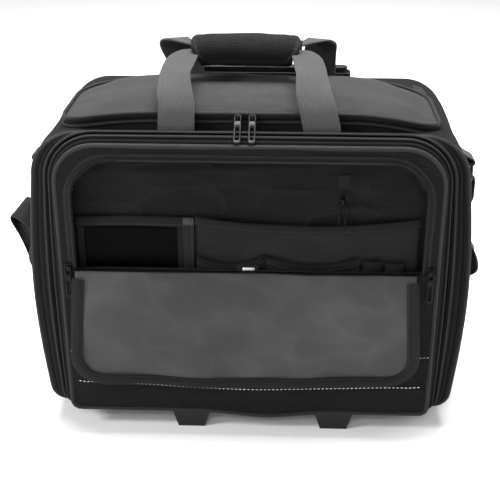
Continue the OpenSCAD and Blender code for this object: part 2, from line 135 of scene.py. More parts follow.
class Finish:
    """One material, with the nodes that make it."""

    def __init__(self, name):
        self.material = bpy.data.materials.new(name)
        self.material.use_nodes = True
        self.tree = self.material.node_tree
        self.tree.nodes.clear()

    def add(self, kind, settings=None, values=None, out=0):
        node = self.tree.nodes.new(kind)
        for key, value in (settings or {}).items():
            setattr(node, key, value)
        for key, value in (values or {}).items():
            if isinstance(value, Sig):
                self.tree.links.new(value.socket, node.inputs[key])
            else:
                node.inputs[key].default_value = value
        return Sig(self, node.outputs[out])

    def uv(self):
        place = self.add("ShaderNodeUVMap")
        split = {"Vector": place}
        return (self.add("ShaderNodeSeparateXYZ", None, split, 0),
                self.add("ShaderNodeSeparateXYZ", None, split, 1))

    def spot(self):
        return self.add("ShaderNodeTexCoord", out="Object")

    def cloud(self, scale, detail=3.0, stretch=None):
        """Soft noise from 0 to 1 over the object, stretched along its axes if asked."""
        place = self.spot()
        if stretch:
            place = self.add("ShaderNodeMapping", None, {"Vector": place, "Scale": stretch})
        return self.add("ShaderNodeTexNoise", None, {"Vector": place, "Scale": scale, "Detail": detail})

    def creases(self, scale, stretch=(1, 1, 1.6), sharp=7.0):
        """Long fold ridges, 0 to 1, where slow noise crosses its middle."""
        return (1 - abs(self.cloud(scale, 2, stretch) * 2 - 1)).power(sharp)

    def away(self, near, far):
        """0 nearer than near to the middle of the object's space, 1 beyond far."""
        distance = self.add("ShaderNodeVectorMath", {"operation": "LENGTH"}, {0: self.spot()}, 1)
        return self.add("ShaderNodeMapRange", None, {"Value": distance, "From Min": near, "From Max": far})

    def blend(self, factor, low, high):
        """Mixes two colours."""
        def tone(value):
            return value if isinstance(value, Sig) else (*value, 1)
        return self.add("ShaderNodeMix", {"data_type": "RGBA"}, {"Factor": factor, 6: tone(low), 7: tone(high)}, 2)

    def surface(self, base, roughness, height=None, depth=0.0005, strength=1.0, specular=0.5,
                metallic=0.0, sheen=0.0, glow=0.0):
        values = {
            "Base Color": base if isinstance(base, Sig) else (*base, 1), "Roughness": roughness,
            "Specular IOR Level": specular, "Metallic": metallic, "Sheen Weight": sheen,
            "Sheen Roughness": 0.4, "Emission Color": (0, 0, 0, 1), "Emission Strength": 1.0,
        }
        if glow:
            values["Emission Color"] = self.blend(glow, (0, 0, 0), (1, 1, 1))
        if height is not None:
            values["Normal"] = self.add("ShaderNodeBump", None,
                                        {"Strength": strength, "Distance": depth, "Height": height})
        shader = self.add("ShaderNodeBsdfPrincipled", None, values)
        output = self.tree.nodes.new("ShaderNodeOutputMaterial")
        self.tree.links.new(shader.socket, output.inputs["Surface"])
        return self.material


def woven(finish, pitch_u, pitch_v):
    """Height of a plain weave, 0 to 1: warp and weft pass over each other in turn."""
    u, v = finish.uv()
    across = (u * (math.pi / pitch_u)).sin()
    along = (v * (math.pi / pitch_v)).sin()
    over = (across * along) > 0
    return over * abs(across) + (1 - over) * abs(along)


def cloth_finish(name, tone, pitch, depth, sheen, gap_shade, specular, crumple=0.0012):
    """Woven cloth: thread relief, painted shade darkening the gaps between threads, slow variation of tone."""
    finish = Finish(name)
    weave = woven(finish, *pitch)
    slow = finish.cloud(22, 4)
    fine = finish.cloud(900, 2)
    # The weave term darkens the gaps between threads as painted shade; slow and fine are random tone of the cloth.
    shade = (weave * gap_shade + (1 - gap_shade)) * (slow * 0.25 + 0.875) * (fine * 0.5 + 0.75)
    dark = tuple(c * 0.12 for c in tone)
    base = finish.blend(shade, dark, tuple(c * 1.25 for c in tone))
    rough = slow * 0.12 + 0.76
    fold = finish.creases(6, (1, 1.3, 0.8)) + finish.creases(13, (1, 1, 1.9)) * 0.5
    return finish.surface(base, rough, weave + fine * 0.4 + fold * (crumple / depth), depth, 0.9, specular,
                          sheen=sheen)


def satin_finish(name, tone, sheen, specular, crumple=0.002, stretch=(1, 1, 2.2)):
    """Fine lining satin: very fine ribs, a soft gloss and long shallow crush marks; the crush marks and fold ridges
    are also painted into the colour as painted sheen.
    """
    finish = Finish(name)
    v = finish.uv()[1]
    rib = abs((v * (math.pi / 0.0007)).sin())
    crush = finish.cloud(14, 5, stretch)
    fold = finish.creases(5, stretch) + finish.creases(11, stretch) * 0.6
    slow = finish.cloud(5, 3)
    # crush and fold lighten and darken the colour as painted sheen on crush marks and fold ridges; slow is random
    # tone.
    base = finish.blend(crush * 0.5 + slow * 0.3 + fold * 0.35, tuple(c * 0.5 for c in tone),
                        tuple(c * 1.55 for c in tone))
    depth = 0.0009
    height = rib * 0.25 + crush * 3.0 + fold * (crumple / depth)
    return finish.surface(base, crush * 0.15 + 0.45, height, depth, 0.8, specular, sheen=sheen)


def webbing_finish(name, tone, rib, sheen):
    """Webbing: ribs run along the strap, with fine cross threads; the grooves between them are darkened as painted
    shade.
    """
    finish = Finish(name)
    u, v = finish.uv()
    ribs = abs((u * (math.pi / rib)).sin())
    threads = abs((v * (math.pi / 0.0009)).sin())
    wear = finish.cloud(60, 4)
    # ribs and threads darken the grooves between them as painted shade; wear is random tone of the webbing.
    shade = (ribs * 0.55 + 0.45) * (threads * 0.25 + 0.75) * (wear * 0.4 + 0.8)
    base = finish.blend(shade, tuple(c * 0.15 for c in tone), tuple(c * 1.25 for c in tone))
    return finish.surface(base, wear * 0.15 + 0.5, ribs + threads * 0.5, 0.0006, 0.9, 0.2, sheen=sheen)


def braid_finish(name, tone):
    """Cord covering and zip tape: a slanted twill, its grooves darkened as painted shade."""
    finish = Finish(name)
    u, v = finish.uv()
    slant = abs(((u + v) * (math.pi / 0.0022)).sin())
    counter = abs(((u - v) * (math.pi / 0.0022)).sin())
    slow = finish.cloud(40, 3)
    # slant and counter darken the twill grooves as painted shade; slow is random tone of the braid.
    shade = (slant * 0.75 + counter * 0.25) * (slow * 0.4 + 0.8)
    base = finish.blend(shade, tuple(c * 0.2 for c in tone), tuple(c * 1.3 for c in tone))
    return finish.surface(base, slow * 0.15 + 0.55, slant + counter * 0.6, 0.0014, 1.0, 0.16, sheen=0.02)


def plastic_finish(name, tone, roughness, grain=0.00012, specular=0.3):
    """Moulded plastic with a fine etched grain and scuffs."""
    finish = Finish(name)
    grit = finish.cloud(1400, 2)
    scuff = finish.cloud(35, 6)
    base = finish.blend(scuff, tuple(c * 0.8 for c in tone), tuple(c * 1.35 for c in tone))
    return finish.surface(base, scuff * 0.2 + (roughness - 0.1), grit, grain, 0.6, specular)


def metal_finish(name, tone, roughness, brushed=0.3):
    """Plated or anodised metal with long brush marks and finger smears."""
    finish = Finish(name)
    brush = finish.cloud(500, 3, (1, 1, 0.06))
    smear = finish.cloud(45, 4)
    base = finish.blend(smear, tuple(c * 0.85 for c in tone), tone)
    return finish.surface(base, brush * brushed * 0.3 + smear * 0.12 + (roughness - 0.08), brush, 0.00005, 0.4,
                          metallic=1.0)


def rubber_finish(name):
    """Dusty black tyre rubber."""
    finish = Finish(name)
    dust = finish.cloud(60, 5)
    base = finish.blend(dust, (0.012, 0.012, 0.012), (0.04, 0.039, 0.038))
    return finish.surface(base, dust * 0.2 + 0.6, finish.cloud(800, 2), 0.0002, 0.5, 0.4)


BALLISTIC = cloth_finish("ballistic_nylon", (0.0125, 0.012, 0.013), (0.0021, 0.0018), depth=0.0016, sheen=0.02,
                         gap_shade=0.8, specular=0.05)
SMOOTH_NYLON = cloth_finish("smooth_nylon", (0.011, 0.0107, 0.0116), (0.0009, 0.0009), depth=0.0003, sheen=0.02,
                            gap_shade=0.3, specular=0.05)
LID_NYLON = cloth_finish("lid_nylon", (0.028, 0.0275, 0.029), (0.0016, 0.0016), depth=0.0008, sheen=0.04,
                         gap_shade=0.5, specular=0.14, crumple=0.003)
GUSSET = cloth_finish("gusset_nylon", (0.006, 0.0058, 0.0063), (0.001, 0.001), depth=0.0003, sheen=0.02,
                      gap_shade=0.3, specular=0.06, crumple=0.0)
GRIP_CLOTH = cloth_finish("grip_cloth", (0.009, 0.0087, 0.0094), (0.0016, 0.0016), depth=0.0009, sheen=0.03,
                          gap_shade=0.45, specular=0.06)
FLAP_SATIN = satin_finish("flap_satin", (0.042, 0.0403, 0.0406), sheen=0.03, specular=0.12, crumple=0.003,
                          stretch=(1, 1, 1.4))
# The lining's tone is far darker than the flap's satin: partly its own colour, partly painted shade of the deep open
# compartment.
LINING_SATIN = satin_finish("lining_satin", (0.0065, 0.0062, 0.0065), sheen=0.005, specular=0.05, crumple=0.006)
POCKET_SATIN = satin_finish("pocket_satin", (0.012, 0.0116, 0.012), sheen=0.01, specular=0.05)
BINDING = braid_finish("binding_tape", (0.008, 0.0078, 0.0081))
DARK_BINDING = braid_finish("dark_binding", (0.007, 0.0068, 0.0073))
# The piping's light tone is partly its own colour and partly painted highlight along the cord ridges.
PIPING = braid_finish("piping_cord", (0.036, 0.0355, 0.037))
ZIP_TAPE = braid_finish("zip_tape", (0.011, 0.0107, 0.0115))
WEBBING = webbing_finish("handle_webbing", (0.043, 0.0424, 0.0438), rib=0.0016, sheen=0.08)
STRAP_WEBBING = webbing_finish("strap_webbing", (0.01, 0.0098, 0.0104), rib=0.002, sheen=0.02)
COIL = plastic_finish("zip_coil", (0.012, 0.012, 0.013), 0.4)
PLASTIC = plastic_finish("moulded_plastic", (0.007, 0.007, 0.0074), 0.5)
GLOSS_PLASTIC = plastic_finish("gloss_plastic", (0.006, 0.006, 0.0064), 0.45, grain=0.00004)
BUTTON_PLASTIC = plastic_finish("button_plastic", (0.05, 0.05, 0.053), 0.4)
BOARD = plastic_finish("stiff_board", (0.03, 0.03, 0.03), 0.7)
WINDOW_FILM = plastic_finish("window_film", (0.001, 0.001, 0.0011), 0.4, grain=0.00002, specular=0.02)
WHITE_THREAD = plastic_finish("white_thread", (0.62, 0.61, 0.58), 0.7)
DARK_THREAD = plastic_finish("dark_thread", (0.032, 0.031, 0.033), 0.7)
WHITE_TAG = plastic_finish("white_tag", (0.75, 0.75, 0.75), 0.6)
GUNMETAL = metal_finish("gunmetal", (0.02, 0.02, 0.0215), 0.4)
BLACK_LACQUER = metal_finish("black_lacquer", (0.012, 0.012, 0.013), 0.4)
STEEL = metal_finish("steel", (0.6, 0.6, 0.61), 0.25)
DARK_TUBE = metal_finish("dark_tube", (0.07, 0.07, 0.072), 0.35, brushed=0.8)
BRIGHT_TUBE = metal_finish("bright_tube", (0.55, 0.55, 0.56), 0.3, brushed=0.9)
TYRE = rubber_finish("tyre_rubber")


# ---- mesh tools ----

def piece(name, verts, faces, corner_uvs, material, body, replaces=()):
    """A mesh that rides on a body and stands for the CAD nodes it replaces."""
    mesh = bpy.data.meshes.new(name)
    mesh.from_pydata([tuple(v) for v in verts], [], faces)
    layer = mesh.uv_layers.new(name="UVMap")
    layer.data.foreach_set("uv", [value for corners in corner_uvs for pair in corners for value in pair])
    mesh.materials.append(material)
    mesh.polygons.foreach_set("use_smooth", [True] * len(mesh.polygons))
    mesh.update()
    obj = bpy.data.objects.new(name, mesh)
    bpy.context.collection.objects.link(obj)
    attach(obj, body, replaces)
    return obj


def attach(obj, body, replaces=()):
    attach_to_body(obj, body)
    if replaces:
        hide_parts(*replaces)


def lengths(points):
    """Distance along a line of points."""
    total = [0.0]
    for a, b in zip(points, points[1:]):
        total.append(total[-1] + (b - a).length)
    return total


def grid_mesh(rows, wrap_u=False, flip=False, wrap_v=False):
    """Vertices, faces and corner UVs (in metres) of a grid of rows of points."""
    nv, nu = len(rows), len(rows[0])
    middle = rows[nv // 2]
    us = lengths(list(middle) + ([middle[0]] if wrap_u else []))
    column = [row[nu // 3] for row in rows]
    vs = lengths(column + ([column[0]] if wrap_v else []))
    verts = [p for row in rows for p in row]
    faces, uvs = [], []
    for j in range(nv if wrap_v else nv - 1):
        for i in range(nu if wrap_u else nu - 1):
            i2, j2 = (i + 1) % nu, (j + 1) % nv
            face = (j * nu + i, j * nu + i2, j2 * nu + i2, j2 * nu + i)
            corners = ((us[i], vs[j]), (us[i + 1], vs[j]), (us[i + 1], vs[j + 1]), (us[i], vs[j + 1]))
            faces.append(face[::-1] if flip else face)
            uvs.append(corners[::-1] if flip else corners)
    return verts, faces, uvs


def thicken(obj, thick):
    """Gives a sheet its thickness, away from its seen side."""
    solid = obj.modifiers.new("thickness", "SOLIDIFY")
    solid.thickness = thick
    solid.offset = -1


def grid(name, rows, material, body, replaces=(), wrap=False, flip=False, thick=0.0):
    """A sheet through rows of points, with a thickness."""
    verts, faces, uvs = grid_mesh(rows, wrap, flip)
    obj = piece(name, verts, faces, uvs, material, body, replaces)
    if thick:
        thicken(obj, thick)
    return obj


def tube(name, path, profile, material, body, replaces=(), closed=False, facing=None, scale=None):
    """Sweeps a closed profile of (across, out) pairs along a path.

    facing gives the outward direction at each point of the path, or one for all.
    """
    count = len(path)
    rows = []
    for i, p in enumerate(path):
        before = path[i - 1] if closed or i else p
        after = path[(i + 1) % count] if closed or i < count - 1 else p
        tangent = (after - before).normalized()
        out = facing[i] if isinstance(facing, list) else facing
        across = tangent.cross(out).normalized()
        out = across.cross(tangent).normalized()
        k = scale[i] if scale else (1, 1)
        rows.append([p + across * a * k[0] + out * b * k[1] for a, b in profile])
    verts, faces, uvs = grid_mesh(rows, True, False, closed)
    if not closed:
        n = len(profile)
        last = (count - 1) * n
        for ring, turn in ((range(n - 1, -1, -1), 0), (range(n), last)):
            faces.append(tuple(turn + k for k in ring))
            uvs.append(tuple((profile[k][0], profile[k][1]) for k in ring))
    return piece(name, verts, faces, uvs, material, body, replaces)


def round_profile(radius, sides):
    return [(radius * math.cos(TAU * k / sides), radius * math.sin(TAU * k / sides)) for k in range(sides)]


def flat_profile(width, thick, edge=3):
    """A strap's cross-section with rounded edges, running anticlockwise."""
    w, r = width / 2 - thick / 2, thick / 2
    right = [(w + r * math.sin(math.pi * k / edge), -r * math.cos(math.pi * k / edge)) for k in range(edge + 1)]
    top = [(w * (1 - 2 * t / 8), r) for t in range(1, 8)]
    left = [(-a, -b) for a, b in right]
    bottom = [(-a, -b) for a, b in top]
    return right + top + left + bottom


def smooth_path(points, steps):
    """Catmull-Rom curve through points of any dimension, with steps pieces between neighbours."""
    points = [Vector(p) for p in points]
    result = []
    for i in range(len(points) - 1):
        p0, p1, p2 = points[max(i - 1, 0)], points[i], points[i + 1]
        p3 = points[min(i + 2, len(points) - 1)]
        for s in range(steps):
            t = s / steps
            result.append(0.5 * (2 * p1 + (p2 - p0) * t + (2 * p0 - 5 * p1 + 4 * p2 - p3) * t * t
                                 + (3 * p1 - p0 - 3 * p2 + p3) * t ** 3))
    return result + [points[-1]]


def arc(cx, cz, r, start, end, n=10):
    return [(cx + r * math.cos(math.radians(start + (end - start) * i / n)),
             cz + r * math.sin(math.radians(start + (end - start) * i / n))) for i in range(n + 1)]


def outline(hw, z0, z1, rt, rb, bulge=0.0):
    """Front view of the case: right side from the bottom middle up to the top middle, then down the left."""
    side = [(hw + bulge * math.sin(math.pi * t / 14), z0 + rb + (z1 - rt - z0 - rb) * t / 14) for t in range(1, 14)]
    right = [(0, z0)] + arc(hw - rb, z0 + rb, rb, -90, 0, 5) + side + arc(hw - rt, z1 - rt, rt, 0, 90, 12)
    left = [(-x, z) for x, z in reversed(right)]
    return right + [(0, z1)] + left[:-1]


def resample(points, count, closed=True):
    """Evenly spaced points along a line of 2-D or 3-D points."""
    points = [Vector(p) for p in points]
    if closed:
        points.append(points[0].copy())
    along = lengths(points)
    wanted = [along[-1] * k / (count if closed else count - 1) for k in range(count)]
    result, i = [], 0
    for w in wanted:
        while i < len(along) - 2 and along[i + 1] < w:
            i += 1
        span = along[i + 1] - along[i]
        result.append(points[i].lerp(points[i + 1], (w - along[i]) / span if span else 0))
    return result



def wander(p, scale, seed=0.0):
    """Smooth repeatable noise, about -1 to 1."""
    return noise.noise(Vector(p) * scale + Vector((seed, seed * 1.7, -seed)))


# ---- rows of small things, by geometry nodes ----

def bead_tree():
    """Puts one small rounded bead at every Pitch along a path, turned with the path and its facing."""
    tree = bpy.data.node_groups.new("beads_along_path", "GeometryNodeTree")
    face = tree.interface
    face.new_socket("Path", in_out="INPUT", socket_type="NodeSocketGeometry")
    face.new_socket("Pitch", in_out="INPUT", socket_type="NodeSocketFloat")
    face.new_socket("Size", in_out="INPUT", socket_type="NodeSocketVector")
    face.new_socket("Material", in_out="INPUT", socket_type="NodeSocketMaterial")
    face.new_socket("Beads", in_out="OUTPUT", socket_type="NodeSocketGeometry")

    def add(kind, settings=None, values=None):
        node = tree.nodes.new(kind)
        for key, value in (settings or {}).items():
            setattr(node, key, value)
        for key, value in (values or {}).items():
            if isinstance(value, bpy.types.NodeSocket):
                tree.links.new(value, node.inputs[key])
            else:
                node.inputs[key].default_value = value
        return node

    given = add("NodeGroupInput")
    curve = add("GeometryNodeMeshToCurve", None, {"Mesh": given.outputs["Path"]})
    spaced = add("GeometryNodeResampleCurve", {"mode": "LENGTH"},
                 {"Curve": curve.outputs["Curve"], "Length": given.outputs["Pitch"]})
    ball = add("GeometryNodeMeshUVSphere", None, {"Segments": 6, "Rings": 4, "Radius": 0.5})
    bead = add("GeometryNodeTransform", None, {"Geometry": ball.outputs["Mesh"], "Scale": given.outputs["Size"]})
    tangent = add("GeometryNodeInputTangent")
    facing = add("GeometryNodeInputNamedAttribute", {"data_type": "FLOAT_VECTOR"}, {"Name": "facing"})
    along = add("FunctionNodeAlignRotationToVector", {"axis": "X"}, {"Vector": tangent.outputs["Tangent"]})
    turned = add("FunctionNodeAlignRotationToVector", {"axis": "Z", "pivot_axis": "X"},
                 {"Rotation": along.outputs["Rotation"], "Vector": facing.outputs["Attribute"]})
    beads = add("GeometryNodeInstanceOnPoints", None,
                {"Points": spaced.outputs["Curve"], "Instance": bead.outputs["Geometry"],
                 "Rotation": turned.outputs["Rotation"]})
    real = add("GeometryNodeRealizeInstances", None, {"Geometry": beads.outputs["Instances"]})
    dressed = add("GeometryNodeSetMaterial", None,
                  {"Geometry": real.outputs["Geometry"], "Material": given.outputs["Material"]})
    add("NodeGroupOutput", None, {"Beads": dressed.outputs["Geometry"]})
    return tree


BEADS = bead_tree()


def beads(name, paths, facing, pitch, size, material, body, slot, closed=False):
    """Stitches, coil teeth or ribs along one path or several; size is (along, across, out)."""
    if isinstance(paths[0], Vector):
        paths = [paths]
    verts, edges, out = [], [], []
    for path in paths:
        first = len(verts)
        verts += path
        out += facing if isinstance(facing, list) else [facing] * len(path)
        edges += [(first + i, first + i + 1) for i in range(len(path) - 1)]
        if closed:
            edges.append((len(verts) - 1, first))
    mesh = bpy.data.meshes.new(name + "_path")
    mesh.from_pydata([tuple(v) for v in verts], edges, [])
    layer = mesh.attributes.new("facing", "FLOAT_VECTOR", "POINT")
    layer.data.foreach_set("vector", [c for v in out for c in v])
    obj = bpy.data.objects.new(name, mesh)
    bpy.context.collection.objects.link(obj)
    modifier = obj.modifiers.new("beads", "NODES")
    modifier.node_group = BEADS
    given = {"Pitch": pitch, "Size": size, "Material": material}
    for item in BEADS.interface.items_tree:
        if item.in_out == "INPUT" and item.name in given:
            modifier[item.identifier] = given[item.name]
    graph = bpy.context.evaluated_depsgraph_get()
    made = bpy.data.meshes.new_from_object(obj.evaluated_get(graph))
    obj.modifiers.clear()
    obj.data = made
    made.polygons.foreach_set("use_smooth", [True] * len(made.polygons))
    if not made.materials:
        made.materials.append(material)
    attach(obj, body)
    return obj


FINE_STITCH = (0.0026, 0.0007, 0.0006)


# ---- places taken from the frame ----

def mm(x, y, z):
    return Vector((x, y, z)) * 0.001


PIPE_LOW, PIPE_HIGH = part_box("inner_piping")
PANEL_X = PIPE_HIGH.x - 0.002
PANEL_TOP = PIPE_HIGH.z - 0.002
PANEL_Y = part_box("front_panel")[0].y
BASE_Z = PIPE_LOW.z
ZIP_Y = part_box("front_gusset")[1].y + 0.0004
PIPING_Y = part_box("outer_piping")[0].y
BODY_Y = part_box("outer_piping")[1].y
BACK_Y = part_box("back_panel")[1].y
RIM_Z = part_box("top_gusset")[1].z
# half width, swell and corner radii of the soft sides and front, as in the part's source
SIDE_X = 0.228
SIDE_BULGE = 0.009
SHOULDER_R = 0.048
BASE_R = 0.016
PANEL_R = 0.042
LID_LOW, LID_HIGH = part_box("lid_zip")
LID_CENTRE_Y = (LID_LOW.y + LID_HIGH.y) / 2
FLAP_LOW, FLAP_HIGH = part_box("pocket_flap")
FOLD_Z = FLAP_HIGH.z
MOUTH_X = 0.185
MOUTH_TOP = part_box("pocket_zip")[1].z - 0.009
LINING_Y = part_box("organizer_lining")[0].y
POCKET_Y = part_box("organizer_pockets")[0].y
LEG_X = 0.075
WEB_WIDTH = 0.038
STRAP_WIDTH = 0.034
WHEEL_X = 0.172
GRIP_LOW, GRIP_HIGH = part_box("front_grip")


def body_loop(count, inset=0.0, y=0.0):
    points = outline(SIDE_X - inset, BASE_Z + inset, RIM_Z - inset, SHOULDER_R - inset, BASE_R - inset, SIDE_BULGE)
    return [Vector((p.x, y, p.y)) for p in resample(points, count)]


def panel_loop(count, grow=0.0, y=0.0, sag=True, bulge=0.0):
    points = outline(PANEL_X + grow, BASE_Z - grow * 0.2, PANEL_TOP + grow, PANEL_R + grow, 0.008 + max(grow, 0),
                     bulge)
    result = [Vector((p.x, y, p.y)) for p in resample(points, count)]
    if sag:
        for p in result:
            p.z -= bottom_sag(p.x) * max(0.0, 1 - (p.z - BASE_Z) / 0.03)
    return result


def bottom_sag(x):
    """The soft front droops a little between its feet."""
    return 0.006 * math.exp(-((x - 0.02) / 0.045) ** 2)


def mouth_loop(count, grow=0.0, y=0.0):
    points = outline(MOUTH_X + grow, FOLD_Z - grow, MOUTH_TOP + grow, PANEL_R + grow, 0.003)
    return [Vector((p.x, y, p.y)) for p in resample(points, count)]


def lid_loop(count, inset=0.0, z=0.0):
    """Rounded rectangle of the lid, anticlockwise from its middle back edge, drooping at its ends."""
    hx, hy = LID_HIGH.x - inset, (LID_HIGH.y - LID_LOW.y) / 2 - inset
    points = [(0, hy)]
    for sx, sy, start, full in ((-1, 1, 90, 0.05), (-1, -1, 180, 0.032), (1, -1, 270, 0.032), (1, 1, 0, 0.05)):
        r = max(full - inset * 0.6, 0.005)
        points += arc(sx * (hx - r), sy * (hy - r), r, start, start + 90, 8)
    return [Vector((p.x, LID_CENTRE_Y + p.y, z - lid_droop(p.x, p.y))) for p in resample(points, count)]


def lid_droop(x, y):
    """The ends and back of the lid sink onto the soft case, more at the right; its middle front is lifted."""
    end = min(1.0, max(0.0, (abs(x) - 0.1) / 0.098)) ** 1.8
    rear = min(1.0, max(0.0, (y - 0.02) / 0.06))
    front = min(1.0, max(0.0, -y / 0.07))
    return end * (0.013 if x > 0 else 0.0085) + rear * 0.004 - front * (1 - end) * 0.002


def top_z(x):
    """Height of the case's top skin at x."""
    over = max(0.0, abs(x) - (SIDE_X - SHOULDER_R))
    return RIM_Z - SHOULDER_R + math.sqrt(max(0.0, SHOULDER_R ** 2 - over ** 2))


def between(a, b, count, swell=0.0, out=None):
    """Rows from loop a to loop b; swell pushes the middle rows along out (a vector or a function of the point)."""
    rows = []
    for j in range(count + 1):
        t = j / count
        lift = swell * math.sin(math.pi * t)
        row = []
        for p, q in zip(a, b):
            point = p.lerp(q, t)
            row.append(point + (out(point) if callable(out) else out) * lift if swell else point)
        rows.append(row)
    return rows


def banded(a, b, profile, out):
    """Rows from loop a to loop b, raised along out as a profile of (share of the way, lift) says."""
    return [[p.lerp(q, t) + out(p) * lift for p, q in zip(a, b)] for t, lift in profile]


def slope(p):
    """Out of the sloping front gusset."""
    return outward(p) * 0.6 + FRONT * 0.8


def outward(p):
    """Away from the middle of the case, seen from the front."""
    centre_z = (BASE_Z + RIM_Z) / 2
    return Vector((p.x / SIDE_X, 0, (p.z - centre_z) / (RIM_Z - centre_z))).normalized()


def planar(obj, a, b):
    """Lays the weave of a piece straight along two axes (0 x, 1 y, 2 z)."""
    layer = obj.data.uv_layers[0].data
    for loop in obj.data.loops:
        co = obj.data.vertices[loop.vertex_index].co
        layer[loop.index].uv = (co[a], co[b])


# ---- the case ----

def case_skin():
    """Sides, base and top shoulders as one skin, open for the lid, the wheels and the trolley."""
    count, deep = 300, 56
    rows = []
    for j in range(deep + 1):
        t = j / deep
        y = BODY_Y + (BACK_Y - BODY_Y) * t
        fade = min(1.0, t * 10, (1 - t) * 10)
        row = []
        for p in body_loop(count, 0.0, y):
            fold = wander((p.x, p.y * 1.3, p.z), 9, 3.1) * 0.0024 + wander(p, 24, 8.0) * 0.001
            fold += 0.0022 * max(0.0, wander((p.x, p.y * 0.7, p.z * 1.6), 14, 5.5)) ** 2 * 3
            hollow = 0.0 if p.z < BASE_Z + 0.01 else 1.0
            row.append(p + outward(p) * (fold * fade * hollow - 0.0004))
        rows.append(row)
    verts, faces, uvs = grid_mesh(rows, True)
    kept, kept_uvs = [], []
    for face, corners in zip(faces, uvs):
        c = sum((verts[k] for k in face), Vector()) / 4
        in_lid = abs(c.x) < 0.186 and c.z > 0.31 and LID_LOW.y + 0.006 < c.y < LID_HIGH.y - 0.004
        in_bay = 0.153 < abs(c.x) < 0.191 and c.y > 0.062 and c.z < 0.04
        in_bezel = abs(c.x) < 0.112 and c.y > 0.0935 and c.y < 0.1145 and c.z > 0.33
        if not (in_lid or in_bay or in_bezel):
            kept.append(face)
            kept_uvs.append(corners)
    obj = piece("case_skin", verts, kept, kept_uvs, BALLISTIC, "body",
                ("side_panel_left", "side_panel_right", "base_panel", "top_gusset"))
    thicken(obj, 0.003)


def back():
    """Padded back with a quilted swell, open round the two wheels."""
    count, rings = 220, 26
    rim = body_loop(count, 0.002, BACK_Y)
    middle = Vector((0, BACK_Y, (BASE_Z + RIM_Z) / 2))
    rows = []
    for j in range(rings + 1):
        t = j / rings
        row = []
        for p in rim:
            q = p.lerp(middle, min(t, 0.9985))
            swell = 0.0045 * min(1.0, t * 6) ** 0.5 + wander(q, 11, 2.0) * 0.0012 * min(1, t * 6)
            row.append(q + BACK * swell)
        rows.append(row)
    verts, faces, uvs = grid_mesh(rows, True, True)
    keep = []
    for face in faces:
        c = sum((verts[k] for k in face), Vector()) / 4
        keep.append(not (0.152 < abs(c.x) < 0.192 and c.z < 0.073))
    faces = [f for f, k in zip(faces, keep) if k]
    uvs = [u for u, k in zip(uvs, keep) if k]
    faces.append(tuple(range(rings * count, rings * count + count)))
    uvs.append(tuple((verts[k].x, verts[k].z) for k in faces[-1]))
    obj = piece("back_cover", verts, faces, uvs, BALLISTIC, "body", ("back_panel",))
    planar(obj, 0, 2)
    for side, word in SIDES:
        centre = side * WHEEL_X
        trim = [Vector((centre + sx * 0.021, y, z)) for sx, y, z in (
            (-1, 0.06, BASE_Z - 0.0005), (-1, BACK_Y - 0.002, BASE_Z - 0.0005), (-1, BACK_Y + 0.0045, BASE_Z + 0.008),
            (-1, BACK_Y + 0.0045, 0.0735), (1, BACK_Y + 0.0045, 0.0735), (1, BACK_Y + 0.0045, BASE_Z + 0.008),
            (1, BACK_Y - 0.002, BASE_Z - 0.0005), (1, 0.06, BASE_Z - 0.0005))]
        tube("bay_trim_" + word, resample(trim, 120), round_profile(0.0026, 8),
             PLASTIC, "body", closed=True, facing=UP + BACK + RIGHT * 0.3)


def piping():
    cord = round_profile(0.0027, 12)
    outer = body_loop(260, -0.0004, (PIPING_Y + BODY_Y) / 2)
    tube("outer_piping_cord", outer, cord, PIPING, "body", ("outer_piping",), True, FRONT)
    rear = body_loop(400, -0.0002, BACK_Y + 0.0012)
    low = [p for p in rear if p.z < BASE_Z + 0.002 and abs(p.x) < 0.149]
    low.sort(key=lambda p: p.x)
    tube("rear_piping_low", low, cord, PIPING, "body", (), False, BACK)
    first = next(i for i, p in enumerate(rear) if p.x > 0.195)
    rest = rear[first:len(rear) - first + 1]
    tube("rear_piping_cord", rest, cord, PIPING, "body", ("rear_piping",), False, BACK)
    inner = panel_loop(300, 0.0002, PANEL_Y + 0.001)
    tube("inner_piping_cord", inner, cord, PIPING, "front_compartment", ("inner_piping",), True, FRONT)


